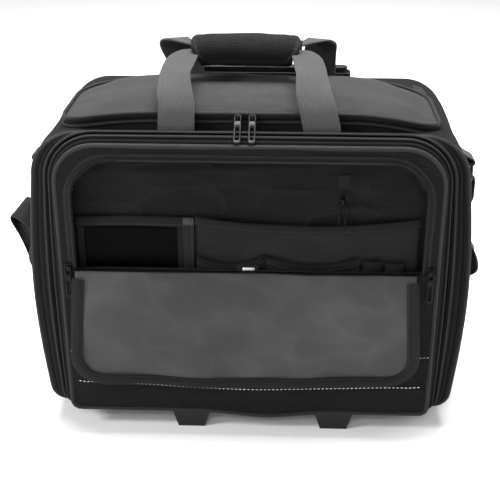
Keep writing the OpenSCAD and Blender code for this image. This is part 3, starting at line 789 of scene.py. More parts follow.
def front_gusset():
    """The sloping band that the front compartment unzips along, in two halves."""
    count = 320
    inner = panel_loop(count, 0.0006, PANEL_Y + 0.003)
    edge = panel_loop(count, 0.0075, ZIP_Y - 0.0022, False, 0.003)
    start = panel_loop(count, 0.0105, ZIP_Y - 0.0002, False, 0.004)
    outer = body_loop(count, 0.0005, PIPING_Y + 0.0015)
    for loop in (edge, start):
        for p in loop:
            if p.z < BASE_Z + 0.012:
                p.z = max(p.z, BASE_Z - 0.001)
    moving = banded(inner, edge, ((0, -0.0012), (0.18, -0.0014), (0.3, 0.0004), (0.5, 0.0006), (0.6, -0.0012),
                                  (0.68, 0.0016), (0.8, 0.0024), (0.93, 0.002), (1, 0.0004)), slope)
    grid("gusset_moving", moving, GUSSET, "front_compartment", ("front_gusset",), True, False, 0.0012)
    fixed = banded(start, outer, ((0, 0.0004), (0.05, 0.002), (0.14, 0.0024), (0.22, 0.0014), (0.27, -0.0014),
                                  (0.42, 0.0004), (0.58, 0.0006), (0.66, -0.0012), (0.72, 0.001), (0.82, 0.0012),
                                  (0.88, -0.0014), (1, -0.0016)), slope)
    grid("gusset_fixed", fixed, GUSSET, "body", ("front_gusset_rear",), True, False, 0.0012)
    band = [p.lerp(q, 0.1) + slope(p) * 0.0028 for p, q in zip(start, outer)]
    tube("gusset_zip_edge", band, round_profile(0.0013, 8), PIPING, "body", (), True, FRONT)
    band = [p.lerp(q, 0.86) + slope(p) * 0.0026 for p, q in zip(inner, edge)]
    tube("gusset_cover_edge", band, round_profile(0.0013, 8), PIPING, "front_compartment", (), True,
         FRONT)
    for name, loop, body in (("coil_moving", edge, "front_compartment"), ("coil_fixed", start, "body")):
        upper = [p + slope(p) * 0.001 for p in loop if p.z > BASE_Z + 0.012]
        beads("zip_" + name, upper, [outward(p) + FRONT for p in upper], 0.0017, (0.001, 0.0026, 0.0016),
              COIL, body, "zip_tape")


def lid():
    count = 300
    low = [Vector((p.x, p.y, min(top_z(p.x) - 0.001, p.z - 0.008))) for p in lid_loop(count, -0.0012, LID_LOW.z)]
    high = lid_loop(count, 0.0, LID_LOW.z - 0.0006)

    def off(p):
        return Vector((p.x / 0.2, (p.y - LID_CENTRE_Y) / 0.08, 0)).normalized()

    grid("lid_band", between(low, high, 7, 0.0016, off), SMOOTH_NYLON, "body", ("lid_gusset",),
         True, False, 0.0014)
    zip_low = lid_loop(count, -0.0002, LID_LOW.z)
    zip_high = lid_loop(count, -0.0006, LID_HIGH.z + 0.0008)
    grid("lid_zip_tape", between(zip_low, zip_high, 3, 0.0008, off), ZIP_TAPE, "lid", ("lid_zip",),
         True, False, 0.0012)
    run = lid_loop(600, -0.0015, LID_LOW.z + 0.0006)
    k = next(i for i, p in enumerate(run) if p.y < LID_HIGH.y - 0.01)
    run = run[k:len(run) - k]
    beads("lid_zip_coil", run, [off(p) for p in run], 0.0017, (0.001, 0.003, 0.0016), COIL, "lid", "zip_tape")
    middle_ridge = lid_loop(count, -0.0016, LID_LOW.z + 0.0035)
    tube("lid_zip_ridge", middle_ridge, round_profile(0.0013, 8), PIPING, "lid", (), True, UP)
    lower = lid_loop(count, -0.0022, LID_LOW.z - 0.0045)
    tube("lid_zip_edge", lower, round_profile(0.0016, 8), PIPING, "body", (), True, UP)
    edge = lid_loop(count, -0.0014, LID_HIGH.z + 0.0014)
    tube("lid_binding", edge, round_profile(0.0019, 8), PIPING, "lid", (), True, UP)

    rings = 40
    rows = []
    for j in range(rings + 1):
        t = j / rings
        inset = 0.0005 + 0.076 * t
        row = []
        for p in lid_loop(count, inset, LID_HIGH.z):
            rise = 0.0145 * max(0.0, 1 - (abs(p.x) / LID_HIGH.x) ** 5) * (1 - (1 - min(1.0, t * 1.5)) ** 2.2)
            fold = wander((p.x, p.y * 1.4, 0.3), 10, 1.3) * 0.003 + wander((p.x, p.y, 0.1), 26, 7.7) * 0.0014
            slant = p.x * 0.55 + p.y
            near_end = min(1.0, max(0.0, (abs(p.x) - 0.06) / 0.1))
            fold += 0.0022 * math.sin(slant * 95 + wander(p, 6) * 4) * max(0.0, wander(p, 9, 4.4) + 0.2) * near_end
            row.append(Vector((p.x, p.y, p.z + rise + fold * min(1.0, t * 7))))
        rows.append(row)
    verts, faces, uvs = grid_mesh(rows, True)
    faces.append(tuple(range(rings * count, rings * count + count)))
    uvs.append(tuple((verts[k].x, verts[k].y) for k in faces[-1]))
    obj = piece("lid_cloth", verts, faces, uvs, LID_NYLON, "lid", ("lid_shell",))
    planar(obj, 0, 1)
    thicken(obj, 0.002)


# ---- front compartment and organizer ----

def hem_z(x):
    """Height of the hem's stitches, lower in the middle."""
    return 0.0625 - 0.007 * math.exp(-(x / 0.12) ** 2)


def panel_face_y(x, z):
    """Front surface of the panel: padded, tight at its seams."""
    edge_x = PANEL_X - abs(x)
    low = min(1.0, max(0.0, (z - BASE_Z) / 0.02))
    swell = 0.0026 * min(1.0, edge_x / 0.02) * low if z < FOLD_Z else 0.0008
    groove = 0.0016 * math.exp(-((z - hem_z(x) - 0.004) / 0.003) ** 2)
    soft = wander((x, 0, z), 14, 6.0) * 0.001 + wander((x, 0, z), 34, 2.0) * 0.0005
    return PANEL_Y - 0.0004 - swell + groove + soft * min(1.0, edge_x / 0.01)


def front_face():
    count, rings = 300, 44
    outer = panel_loop(count, -0.0006, PANEL_Y)
    inner = mouth_loop(count, 0.0, PANEL_Y)
    rows = []
    for row in between(outer, inner, rings):
        rows.append([Vector((p.x, panel_face_y(p.x, p.z), p.z)) for p in row])
    verts, faces, uvs = grid_mesh(rows, True)
    obj = piece("front_face", verts, faces, uvs, BALLISTIC, "front_compartment", ("front_panel",))
    planar(obj, 0, 2)
    thicken(obj, 0.002)

    def on_face(points, lift=0.0004):
        return [Vector((x, panel_face_y(x, z) - lift, z)) for x, z in points]

    line = [(x, hem_z(x)) for x in [-0.19 + 0.38 * k / 80 for k in range(81)]]
    beads("hem_stitches", on_face(line, 0.0005), FRONT, 0.0046, (0.0034, 0.0011, 0.0008), WHITE_THREAD,
          "front_compartment", "ballistic_nylon")
    seam = [(x, z + 0.004) for x, z in line]
    tube("hem_seam", on_face(seam, 0.0001), round_profile(0.0009, 6), DARK_BINDING, "front_compartment",
         (), False, FRONT)
    for side, word in SIDES:
        short = on_face([(side * (0.1855 + 0.012 * k / 6), 0.1) for k in range(7)], 0.0006)
        beads("corner_stitches_" + word, short, FRONT, 0.004, (0.0028, 0.0008, 0.0007), WHITE_THREAD,
              "front_compartment", "ballistic_nylon")
        cross = on_face([(side * (0.1885 + 0.0115 * k / 6), FOLD_Z - 0.001) for k in range(7)], 0.0002)
        tube("side_seam_" + word, cross, round_profile(0.0008, 6), DARK_BINDING, "front_compartment",
             (), False, FRONT)


def open_mouth(count, grow, y):
    """The mouth's outline without its bottom, from lower right to lower left."""
    loop = mouth_loop(count, grow, y)
    return [p for p in loop if p.z > FOLD_Z + 0.002]


def mouth_zip():
    count = 360
    tape_out = resample(open_mouth(count, 0.0085, PANEL_Y - 0.0012), 240, False)
    tape_in = resample(open_mouth(count, -0.001, PANEL_Y - 0.0016), 240, False)
    grid("mouth_tape", between(tape_out, tape_in, 4, 0.0006, FRONT), ZIP_TAPE, "front_compartment",
         ("pocket_zip",), False, False, 0.0008)
    coil = resample(open_mouth(count, 0.0012, PANEL_Y - 0.0026), 300, False)
    beads("mouth_coil", coil, FRONT, 0.0016, (0.001, 0.0032, 0.0015), COIL, "front_compartment", "zip_tape")
    seam = resample(open_mouth(count, 0.0065, PANEL_Y - 0.0021), 300, False)
    beads("mouth_stitches", seam, FRONT, 0.0034, FINE_STITCH, DARK_THREAD, "front_compartment", "zip_tape")
    wall_front = mouth_loop(count, 0.0, PANEL_Y + 0.0008)
    wall_back = mouth_loop(count, 0.003, LINING_Y + 0.0004)
    grid("mouth_wall", between(wall_front, wall_back, 4, 0.001, outward), POCKET_SATIN, "front_compartment",
         (), True, True, 0.0006)


def lining():
    nx, nz = 130, 110
    rows = []
    low, high = BASE_Z + 0.006, PANEL_TOP - 0.006
    for j in range(nz + 1):
        z = low + (high - low) * j / nz
        span = PANEL_X - 0.006
        corner = max(0.0, z - (PANEL_TOP - PANEL_R))
        span -= PANEL_R - math.sqrt(max(0.0, PANEL_R ** 2 - corner ** 2))
        row = []
        for i in range(nx + 1):
            x = -span + 2 * span * i / nx
            free = min(1.0, max(0.0, (z - 0.259) / 0.02))
            soft = wander((x * 0.5, 0, z * 2.2), 15, 4.0) * 0.0042 + wander((x * 0.8, 0, z * 1.4), 36, 9.0) * 0.0012
            for place, depth in ((0.272, 0.0030), (0.291, 0.0022), (0.313, 0.0026)):
                level = place + 0.006 * math.sin(x * 11 + place * 40)
                soft -= depth * math.exp(-((z - level) / 0.0042) ** 2) * (0.6 + 0.4 * math.sin(x * 17 + place * 90))
            row.append(Vector((x, LINING_Y + 0.0012 + soft * free - 0.002 * free, z)))
        rows.append(row)
    grid("organizer_back", rows, LINING_SATIN, "front_compartment", ("organizer_lining",),
         False, False, 0.0012)


def drape(x, z, s, sway, seed):
    """How far soft lining stands off its line, s of the way along; it is sewn down at both ends."""
    ends = min(1.0, s * 8, (1 - s) * 8)
    return (wander((x, 0, z), 16, seed) + 0.4 * wander((x, 0, z), 40, seed)) * sway * ends


def patch(name, x0, x1, low, top, y, material, sway=0.0, seed=1.0, body="front_compartment",
          replaces=(), thick=0.0007, swell=0.0, nx=60, nz=30):
    """A flat piece of lining cloth; top is a height or a function of x."""
    rows = []
    for j in range(nz + 1):
        row = []
        for i in range(nx + 1):
            s, t = i / nx, j / nz
            x = x0 + (x1 - x0) * s
            high = top(x) if callable(top) else top
            z = low + (high - low) * t
            belly = swell * math.sin(math.pi * s) ** 0.7 * (0.3 + 0.7 * t)
            row.append(Vector((x, y - drape(x, z, s, sway, seed) - belly, z)))
        rows.append(row)
    return grid(name, rows, material, body, replaces, False, False, thick)


def hem(name, x0, x1, top, y, width, material=BINDING, sway=0.0, seed=1.0, swell=0.0):
    """Folded edge along the top of a pocket, with a stitch line."""
    rows = []
    nx = 60
    for t, lift in ((0, 0.0), (0.15, 0.0009), (0.85, 0.0009), (1.0, 0.0), (1.0, -0.0012)):
        row = []
        for i in range(nx + 1):
            s = i / nx
            x = x0 + (x1 - x0) * s
            high = top(x) if callable(top) else top
            z = high - width + width * t
            belly = swell * math.sin(math.pi * s) ** 0.7
            row.append(Vector((x, y - drape(x, z, s, sway, seed) - belly - lift, z)))
        rows.append(row)
    grid(name, rows, material, "front_compartment", (), False, False, 0.0005)
    line = [p + FRONT * 0.0002 + Vector((0, 0, width * 0.12)) for p in rows[1]]
    beads(name + "_stitches", line, FRONT, 0.0032, FINE_STITCH, DARK_THREAD, "front_compartment", "lining_satin")


def organizer():
    y = POCKET_Y + 0.0012
    lining()

    def window_top(x):
        return 0.2585 + 0.0006 * math.sin(x * 40)

    patch("window_pocket", -0.184, -0.0605, 0.15, window_top, y + 0.0014, POCKET_SATIN, 0.0008, 3.0,
          replaces=("organizer_pockets",))
    patch("window_film", -0.176, -0.074, 0.17, 0.2475, y + 0.0006, WINDOW_FILM, 0.0005, 5.0, thick=0.0003)
    hem("window_hem", -0.184, -0.0605, window_top, y + 0.0006, 0.011, BINDING, 0.0008, 3.0)
    for n, x in enumerate((-0.1795, -0.0725)):
        patch(f"window_edge_{n}", x - 0.0035, x + 0.0035, 0.16, 0.2475, y + 0.0001, BINDING, 0.0003, 2.0, nx=6, nz=24)
    patch("stripe_tape", -0.0695, -0.0585, 0.155, window_top, y - 0.0006, WEBBING, 0.0004, 2.0, nx=8, nz=24)
    for n in range(5):
        x = -0.0687 + 0.0023 * n
        tube(f"tape_rib_{n}", [Vector((x, y - 0.0013, 0.16 + 0.09 * k / 12)) for k in range(13)],
             round_profile(0.0005, 6), DARK_BINDING, "front_compartment", (), False, FRONT)

    def flat_top(x):
        s = (x + 0.056) / 0.235
        return 0.2600 - 0.009 * math.sin(math.pi * min(max(s, 0), 1)) ** 0.8

    patch("flat_pocket", -0.057, 0.181, 0.15, flat_top, y + 0.0008, POCKET_SATIN, 0.0018, 6.0, swell=0.0022)
    hem("flat_pocket_hem", -0.057, 0.181, flat_top, y + 0.0002, 0.0095, BINDING, 0.0018, 6.0, 0.0022)
    for word, x0, x1, seed in (("middle", -0.0555, 0.0155, 8.0), ("right", 0.0195, 0.119, 9.0)):
        def low_top(x, a=x0, b=x1):
            return 0.2165 - 0.0095 * math.sin(math.pi * min(max((x - a) / (b - a), 0), 1)) ** 0.8
        patch("card_pocket_" + word, x0, x1, 0.15, low_top, y - 0.0032, POCKET_SATIN, 0.0008, seed, swell=0.0016)
        hem(f"card_hem_{word}", x0, x1, low_top, y - 0.0038, 0.0085, BINDING, 0.0008, seed, 0.0016)
    patch("pocket_divider", 0.0155, 0.0195, 0.15, 0.2165, y - 0.0036, BINDING, nx=4, nz=14)
    for n, (x0, top) in enumerate(((0.1225, 0.2125), (0.1465, 0.2105))):
        rows = []
        for z in (top - 0.015, top - 0.0135, top - 0.0015, top):
            lift = 0.0 if z in (top, top - 0.015) else 0.0006
            rows.append([Vector((x0 + 0.021 * k / 14, y - 0.0026 - lift - 0.0036 * math.sin(math.pi * k / 14) ** 0.8, z))
                         for k in range(15)])
        grid(f"pen_loop_{n}", rows, BINDING, "front_compartment", (), False, False, 0.0008)
    patch("tag_base", -0.012, 0.012, 0.188, 0.2075, y - 0.0066, POCKET_SATIN, nx=8, nz=6)
    patch("blank_tag", -0.0065, 0.0065, 0.1995, 0.2045, y - 0.0073, WHITE_TAG, nx=4, nz=3, thick=0.0003)
    patch("key_loop_tab", 0.0935, 0.1045, 0.292, 0.309, y - 0.0006, BINDING, nx=8, nz=8,
          replaces=("key_tab",), thick=0.001)


def flap_point(s, t):
    """s across from -1 to 1, t from the fold (0) to the lower edge (1)."""
    depth = FOLD_Z - FLAP_LOW.z
    half = 0.1855 + 0.0115 * t if s < 0 else 0.1785 + 0.008 * t
    z = FOLD_Z - depth * t
    corner = 0.036
    over = max(0.0, (FLAP_LOW.z + corner) - z)
    width = half - corner + math.sqrt(max(0.0, corner ** 2 - over ** 2))
    x = s * width
    droop = 0.005 * math.exp(-((x + 0.03) / 0.11) ** 2) * t
    pull = abs(x / half)
    wave = 0.0024 * math.sin(x * 48 + z * 62 + wander((x, 0, z), 5) * 3) * (0.2 + 0.8 * pull) * t
    diag = 0.0022 * math.sin((x * 0.9 - z * 0.7) * 80 + 2) * max(0.0, wander((x, 0, z), 8, 2.2)) * 1.6
    diag += 0.0018 * math.sin((x * 0.5 + z) * 130) * max(0.0, wander((x, 0, z), 11, 7.2)) * pull
    belly = 0.002 * math.sin(math.pi * min(1.0, t * 1.1)) + wander((x, 0, z), 12, 5) * 0.0022
    roll = 0.0022 * (1 - t) ** 10
    y = (FLAP_LOW.y + FLAP_HIGH.y) / 2 - 0.0002 - belly - wave - diag * 0.8 + roll
    return Vector((x, min(y, PANEL_Y - 0.0036 + roll), z - droop))


def flap():
    nx, nz = 150, 60
    rows = [[flap_point(-1 + 2 * i / nx, j / nz) for i in range(nx + 1)] for j in range(nz, -1, -1)]
    cloth = grid("flap_cloth", rows, FLAP_SATIN, "pocket_flap", ("pocket_flap",), False, False, 0.0009)
    cloth.data.materials.append(BALLISTIC)
    cloth.modifiers["thickness"].material_offset = 1
    path = [flap_point(-1, k / 50) for k in range(3, 50)] + [flap_point(-1 + 2 * k / 120, 1) for k in range(121)]
    path += [flap_point(1, k / 50) for k in range(49, 2, -1)]
    path = resample(path, 260, False)
    middle = Vector((0, 0, FOLD_Z - 0.03))
    inward = []
    for i, p in enumerate(path):
        tangent = (path[min(i + 1, 259)] - path[max(i - 1, 0)]).normalized()
        side = tangent.cross(FRONT).normalized()
        inward.append(side if side.dot(middle - p) > 0 else -side)
    inner = [p + d * 0.0105 + FRONT * 0.0012 for p, d in zip(path, inward)]
    fold = [p - d * 0.0004 for p, d in zip(path, inward)]
    rows = [[p + BACK * 0.0014 for p in fold], [p - d * 0.0006 for p, d in zip(fold, inward)],
            [p + FRONT * 0.0011 for p in fold], [p.lerp(q, 0.5) + FRONT * 0.0013 for p, q in zip(fold, inner)], inner]
    grid("flap_binding", rows, BINDING, "pocket_flap", (), False, True, 0.0006)
    beads("flap_stitches", [p + d * 0.0092 + FRONT * 0.002 for p, d in zip(path, inward)], FRONT, 0.0034,
          FINE_STITCH, DARK_THREAD, "pocket_flap", "lining_satin")
    beads("flap_coil", [p - d * 0.0018 for p, d in zip(path, inward)], FRONT, 0.0016, (0.001, 0.003, 0.0014),
          COIL, "pocket_flap", "zip_tape")


# ---- straps and handles ----

def ribbon(name, stops, thick, material, body, replaces=(), steps=6, edge=3):
    """Webbing through stops of (centre, width direction, width), all smoothed together."""
    packed = smooth_path([(*c, *Vector(w).normalized(), width) for c, w, width in stops], steps)
    path = [Vector(p[:3]) for p in packed]
    rows = []
    for i, p in enumerate(path):
        tangent = (path[min(i + 1, len(path) - 1)] - path[max(i - 1, 0)]).normalized()
        wide = Vector(packed[i][3:6])
        wide = (wide - tangent * wide.dot(tangent)).normalized()
        out = wide.cross(tangent).normalized()
        rows.append([p + wide * a + out * b for a, b in flat_profile(packed[i][6], thick, edge)])
    verts, faces, uvs = grid_mesh(rows, True)
    n = len(rows[0])
    for ring in (range(n - 1, -1, -1), range(len(verts) - n, len(verts))):
        faces.append(tuple(ring))
        uvs.append(tuple((verts[k].x, verts[k].z) for k in ring))
    return piece(name, verts, faces, uvs, material, body, replaces)


def mirrored(stops, side):
    return [(Vector((c[0] * side, c[1], c[2])), Vector((w[0] * side, w[1], w[2])), width) for c, w, width in stops]


FRONT_LEG = [
    (mm(75, -106.6, 338), (1, 0, 0), 0.038), (mm(75, -107.2, 350), (1, 0, 0), 0.038),
    (mm(75, -103.5, 363), (1, 0, 0), 0.038), (mm(75, -97, 376), (1, 0, 0), 0.038),
    (mm(74.6, -85, 388), (1, 0.02, -0.03), 0.037), (mm(73, -62, 398), (1, 0.1, -0.12), 0.034),
    (mm(70.5, -36, 402.5), (1, 0.2, 0.05), 0.033), (mm(68, -18, 405), (1, 0.4, 0.1), 0.031),
    (mm(63, -2, 406.5), (1, 0.9, 0.1), 0.026), (mm(53, 8, 406), (0.5, 1, 0), 0.021),
    (mm(38, 11, 405), (0.1, 1, 0), 0.020),
]
REAR_LEG = [
    (mm(77, 78.6, 347), (1, 0, 0), 0.038), (mm(79, 80, 362), (1, 0, 0), 0.038),
    (mm(82, 80, 376), (1, 0, 0.05), 0.038), (mm(85, 76, 390), (1, -0.1, 0.12), 0.038),
    (mm(86, 69, 402), (1, -0.3, 0.15), 0.036), (mm(83, 59, 409), (0.8, -0.7, 0.1), 0.032),
    (mm(74, 50, 409), (0.4, -1, 0.1), 0.028), (mm(62, 44, 407), (0.2, -1, 0.1), 0.024),
    (mm(46, 41, 405.5), (0, -1, 0.1), 0.021),
]


def leaning(stops, side):
    """The handle straps lean a little to the left at the top, the right ones more."""
    leant = []
    for centre, wide, width in mirrored(stops, side):
        rise = (centre.z - 0.352) / 0.036 if side > 0 else (centre.z - 0.378) / 0.022
        leant.append((centre + LEFT * (0.009 if side > 0 else 0.0075) * min(1.0, max(0.0, rise)), wide, width))
    return leant


def strap_end(name, x, y, low, high, out, body):
    """Folded and stitched lower end of a handle strap, with a stitched box."""
    half = WEB_WIDTH / 2
    patch_stops = [(Vector((x, y, low)), RIGHT, WEB_WIDTH), (Vector((x, y, (low + high) / 2)), RIGHT, WEB_WIDTH),
                   (Vector((x, y, high)), RIGHT, WEB_WIDTH)]
    ribbon(name, patch_stops, 0.0022, WEBBING, body, (), 4)
    inset, face = 0.004, y + out.y * 0.0014
    a, b = x - half + inset, x + half - inset
    box_path = [Vector((a, face, low + 0.002)), Vector((b, face, low + 0.002)), Vector((b, face, high - 0.003)),
                Vector((a, face, high - 0.003)), Vector((a, face, low + 0.002))]
    beads(name + "_stitches", box_path, out, 0.0032, FINE_STITCH, DARK_THREAD, body, "handle_webbing")


def handles():
    for side, word in SIDES:
        for end, leg in (("front", FRONT_LEG), ("rear", REAR_LEG)):
            handle = end + "_handle"
            ribbon(f"{end}_strap_{word}", leaning(leg, side), 0.0026, WEBBING, handle,
                   (handle,) if side > 0 else (), 7)
        strap_end("front_strap_end_" + word, side * LEG_X, -0.1062, 0.3405, 0.3475, FRONT, "body")
        strap_end("rear_strap_end_" + word, side * LEG_X, 0.0785, 0.3455, 0.3590, BACK, "body")
        for k, (z0, y0) in enumerate(((0.352, -0.1083), (0.356, -0.1070))):
            line = [Vector((side * LEG_X - 0.015 + 0.03 * n / 10, y0 - 0.0012, z0)) for n in range(11)]
            beads(f"leg_stitches_{word}_{k}", line, FRONT, 0.003, FINE_STITCH, DARK_THREAD, "front_handle",
                  "handle_webbing")


def grip():
    """Padded wrap round both handle straps: a roll, and a bound flap closed over it."""
    middle = Vector((-0.008, (GRIP_LOW.y + GRIP_HIGH.y) / 2, (GRIP_LOW.z + GRIP_HIGH.z) / 2))
    radius = (GRIP_HIGH.z - GRIP_LOW.z) / 2
    half = 0.0555

    def shell(x, angle, r):
        sag = 0.0016 * (x / half) ** 2
        crush = wander((x * 1.2, math.cos(angle) * 0.03, math.sin(angle) * 0.03), 38, 3.0) * 0.0011
        rr = r + crush
        return middle + Vector((x, rr * math.cos(angle) * 1.02, rr * math.sin(angle) - sag))

    def off_axis(p):
        return (p - Vector((p.x, middle.y, middle.z))).normalized()

    rows = []
    n = 40
    for j in range(n + 1):
        x = (-half + 2 * half * j / n) * 0.93
        close = min(1.0, (half * 0.93 - abs(x)) / 0.006)
        r = (radius - 0.0034) * (0.8 + 0.2 * math.sqrt(max(0.0, 1 - (1 - close) ** 2)))
        rows.append([shell(x, TAU * k / 56, r) for k in range(56)])
    verts, faces, uvs = grid_mesh(rows, True, True)
    for ring in (range(56), range(len(verts) - 1, len(verts) - 57, -1)):
        faces.append(tuple(ring))
        uvs.append(tuple((verts[k].y, verts[k].z) for k in ring))
    roll = piece("grip_roll", verts, faces, uvs, GRIP_CLOTH, "front_handle", ("front_grip",))

    # the flap lies over the top and front of the roll; its ends are rounded like a stadium
    low_angle, high_angle = math.radians(196), math.radians(48)

    def flap_at(s, t, lift=0.0):
        """s from -1 to 1 along the grip, t from the front lower edge (0) to the back edge (1)."""
        across = abs(2 * t - 1)
        length = half + 0.001 - 0.019 * (1 - math.sqrt(max(0.0, 1 - across ** 2)))
        angle = low_angle + (high_angle - low_angle) * t
        puff = 0.0022 * (1 - across ** 4) * (1 - abs(s) ** 8)
        return shell(s * length, angle, radius + 0.0008 + puff + lift)

    rows = [[flap_at(-1 + 2 * i / 70, j / 26) for i in range(71)] for j in range(27)]
    obj = grid("grip_flap", rows, GRIP_CLOTH, "front_handle", (), False, True, 0.0018)
    rim = [flap_at(-1, 1 - k / 26) for k in range(27)] + [flap_at(-1 + 2 * k / 70, 0) for k in range(1, 71)]
    rim += [flap_at(1, k / 26) for k in range(1, 27)] + [flap_at(1 - 2 * k / 70, 1) for k in range(1, 70)]
    rim = resample(rim, 220)
    out = [off_axis(p) for p in rim]
    tube("grip_binding", [p + d * 0.0006 for p, d in zip(rim, out)],
         [(a * 1.5, b) for a, b in round_profile(0.0026, 10)], BINDING, "front_handle", (), True, out)
    inner = []
    for k in range(200):
        a = TAU * k / 200
        s = math.copysign(abs(math.cos(a)) ** 0.45, math.cos(a)) * 0.93
        t = 0.5 + math.copysign(abs(math.sin(a)) ** 0.8, math.sin(a)) * 0.37
        inner.append(flap_at(s, t, 0.0003))
    beads("grip_stitches", inner, [off_axis(p) for p in inner], 0.0034, FINE_STITCH, DARK_THREAD, "front_handle",
          "grip_fabric", True)

    low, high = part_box("rear_grip")
    core_y, core_z = (low.y + high.y) / 2, (low.z + high.z) / 2
    path = [Vector((-0.07 + 0.124 * k / 30, core_y, core_z + 0.0008 * math.sin(k))) for k in range(31)]
    obj = tube("rear_grip_core", path, [(a * 1.2, b * 0.8) for a, b in round_profile(0.0105, 20)], GRIP_CLOTH,
               "rear_handle", ("rear_grip",), False, UP)


STRAP_ROUTE = [
    (-246, -21, 202), (-256, -19, 186), (-263, -5, 166), (-264, 24, 146), (-262, 60, 126),
    (-257, 96, 108), (-240, 122, 96), (-200, 128, 88), (-120, 128, 84), (0, 128, 82),
    (120, 128, 84), (200, 128, 88), (240, 122, 96), (258, 100, 108), (262, 66, 126),
    (263, 26, 146), (263, -5, 166), (256, -19, 186), (246, -21, 202),
]
STRAP_WIDE = [
    (0, 1, 0), (0, 1, 0), (0, 1, 0.2), (0, 0.9, 0.5), (0, 0.6, 0.8), (0.1, 0.3, 1), (0, 0, 1), (0, 0, 1), (0, 0, 1),
    (0, 0, 1), (0, 0, 1), (0, 0, 1), (0, 0, 1), (-0.1, 0.3, 1), (0, 0.6, 0.8), (0, 0.9, 0.5), (0, 1, 0.2),
    (0, 1, 0), (0, 1, 0),
]


STRAP_LOOP = [(246, 201), (247.6, 207), (246.6, 212.5), (243.4, 214), (240.4, 212), (240.2, 205), (243.6, 197)]
LEFT_BIGHT = [
    ((-246, -21, 205), (0, 1, 0.1)), ((-251, -24, 215), (0.1, 1, 0.3)), ((-259, -27, 226), (0.2, 1, 0.5)),
    ((-268, -24, 231), (0.3, 1, 0.4)), ((-273, -18, 224), (0.3, 1, 0.2)), ((-273, -11, 207), (0.1, 1, 0.1)),
    ((-269, -6, 186), (0, 1, 0.1)), ((-265, -1, 166), (0, 1, 0.2)),
]
RING_TAB = [(224.5, 318), (229.5, 309), (234.5, 303.5), (240.5, 300), (245.5, 297), (246.6, 293), (243.5, 290.8),
            (239.8, 293), (236, 298)]
HOOK_Y = -21


def shoulder_strap():
    stops = [(mm(*p), w, STRAP_WIDTH) for p, w in zip(STRAP_ROUTE, STRAP_WIDE)]
    ribbon("shoulder_webbing", stops, 0.002, STRAP_WEBBING, "body", ("shoulder_strap",), 8)
    for side, word in SIDES:
        loop = [(mm(side * x, HOOK_Y, z), BACK, STRAP_WIDTH) for x, z in STRAP_LOOP]
        ribbon("strap_loop_" + word, loop, 0.0018, STRAP_WEBBING, "strap_hook_" + word, (), 6)
        if side < 0:
            bight = [(mm(*p), w, STRAP_WIDTH) for p, w in LEFT_BIGHT]
            ribbon("strap_bight_left", bight, 0.0018, STRAP_WEBBING, "strap_hook_left", (), 6)


def oblong(width, height, radius, steps=6):
    """Closed rounded rectangle of (across, up) pairs."""
    points = []
    for sx, sy, start in ((1, 1, 0), (-1, 1, 90), (-1, -1, 180), (1, -1, 270)):
        points += arc(sx * (width / 2 - radius), sy * (height / 2 - radius), radius, start, start + 90, steps)
    return points


def rings():
    """D rings, swivel snap hooks and the tabs that hold them."""
    for side, word in SIDES:
        node = "strap_hook_" + word
        low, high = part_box(node)
        x, y = (low.x + high.x) / 2, (low.y + high.y) / 2
        out = Vector((side, 0, 0))
        top = 0.283
        ring = [Vector((x, y + a, top + b)) for a, b in oblong(0.0305, 0.0225, 0.009)]
        tube("d_ring_" + word, ring, round_profile(0.0018, 10), GUNMETAL, node, (node,), True, out)
        eye = [Vector((x + a, y, 0.259 + b)) for a, b in oblong(0.0122, 0.0345, 0.006)]
        tube("hook_eye_" + word, eye, round_profile(0.0019, 10), GUNMETAL, node, (), True, FRONT)
        latch = [Vector((x + side * 0.0061, y, 0.249 + 0.02 * k / 6)) for k in range(7)]
        tube("hook_latch_" + word, latch, round_profile(0.0025, 10), BLACK_LACQUER, node, (), False, FRONT)
        neck = [Vector((x, y, z)) for z in (0.2295, 0.2315, 0.2345, 0.2375, 0.2405, 0.243)]
        tube("hook_swivel_" + word, neck, round_profile(0.0042, 14), GUNMETAL, node, (), False, FRONT,
             [(0.8, 0.8), (1, 1), (0.75, 0.75), (1, 1), (1, 1), (0.7, 0.7)])
        foot = [Vector((x, y + a, 0.219 + b)) for a, b in oblong(0.0425, 0.022, 0.004)]
        tube("hook_base_" + word, foot, round_profile(0.0018, 10), GUNMETAL, node, (), True, out)
        stops = [(mm(side * x, HOOK_Y, z), BACK, 0.024) for x, z in RING_TAB]
        ribbon("ring_tab_" + word, stops, 0.002, WEBBING, "body",
               ("ring_tabs",) if side > 0 else (), 6)
        corner = []
        for k in range(9):
            angle = math.radians(-8 + 90 * k / 8)
            reach = 0.0492 + 0.0006 * math.sin(k)
            centre = Vector((side * (SIDE_X - SHOULDER_R + reach * math.cos(angle)), 0.076,
                             RIM_Z - SHOULDER_R + reach * math.sin(angle)))
            corner.append((centre, (0, 1, 0), 0.034))
        ribbon("corner_band_" + word, corner, 0.0026, STRAP_WEBBING, "body", (), 3)


def key_hook():
    low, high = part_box("key_hook")
    x, y = (low.x + high.x) / 2, (low.y + high.y) / 2
    eye = [Vector((x + a, y, 0.2865 + b)) for a, b in oblong(0.0088, 0.0105, 0.003)]
    tube("key_hook_eye", eye, round_profile(0.0009, 8), BLACK_LACQUER, "key_hook", ("key_hook",), True, FRONT)
    neck = [Vector((x, y, z)) for z in (0.2765, 0.2785, 0.2805, 0.2825)]
    tube("key_hook_neck", neck, round_profile(0.0022, 10), BLACK_LACQUER, "key_hook", (), False, FRONT)
    loop = [Vector((x + a * (1 + b * 18), y, 0.264 + b)) for a, b in oblong(0.0074, 0.024, 0.0035)]
    tube("key_hook_loop", loop, round_profile(0.0009, 8), BLACK_LACQUER, "key_hook", (), True, FRONT)


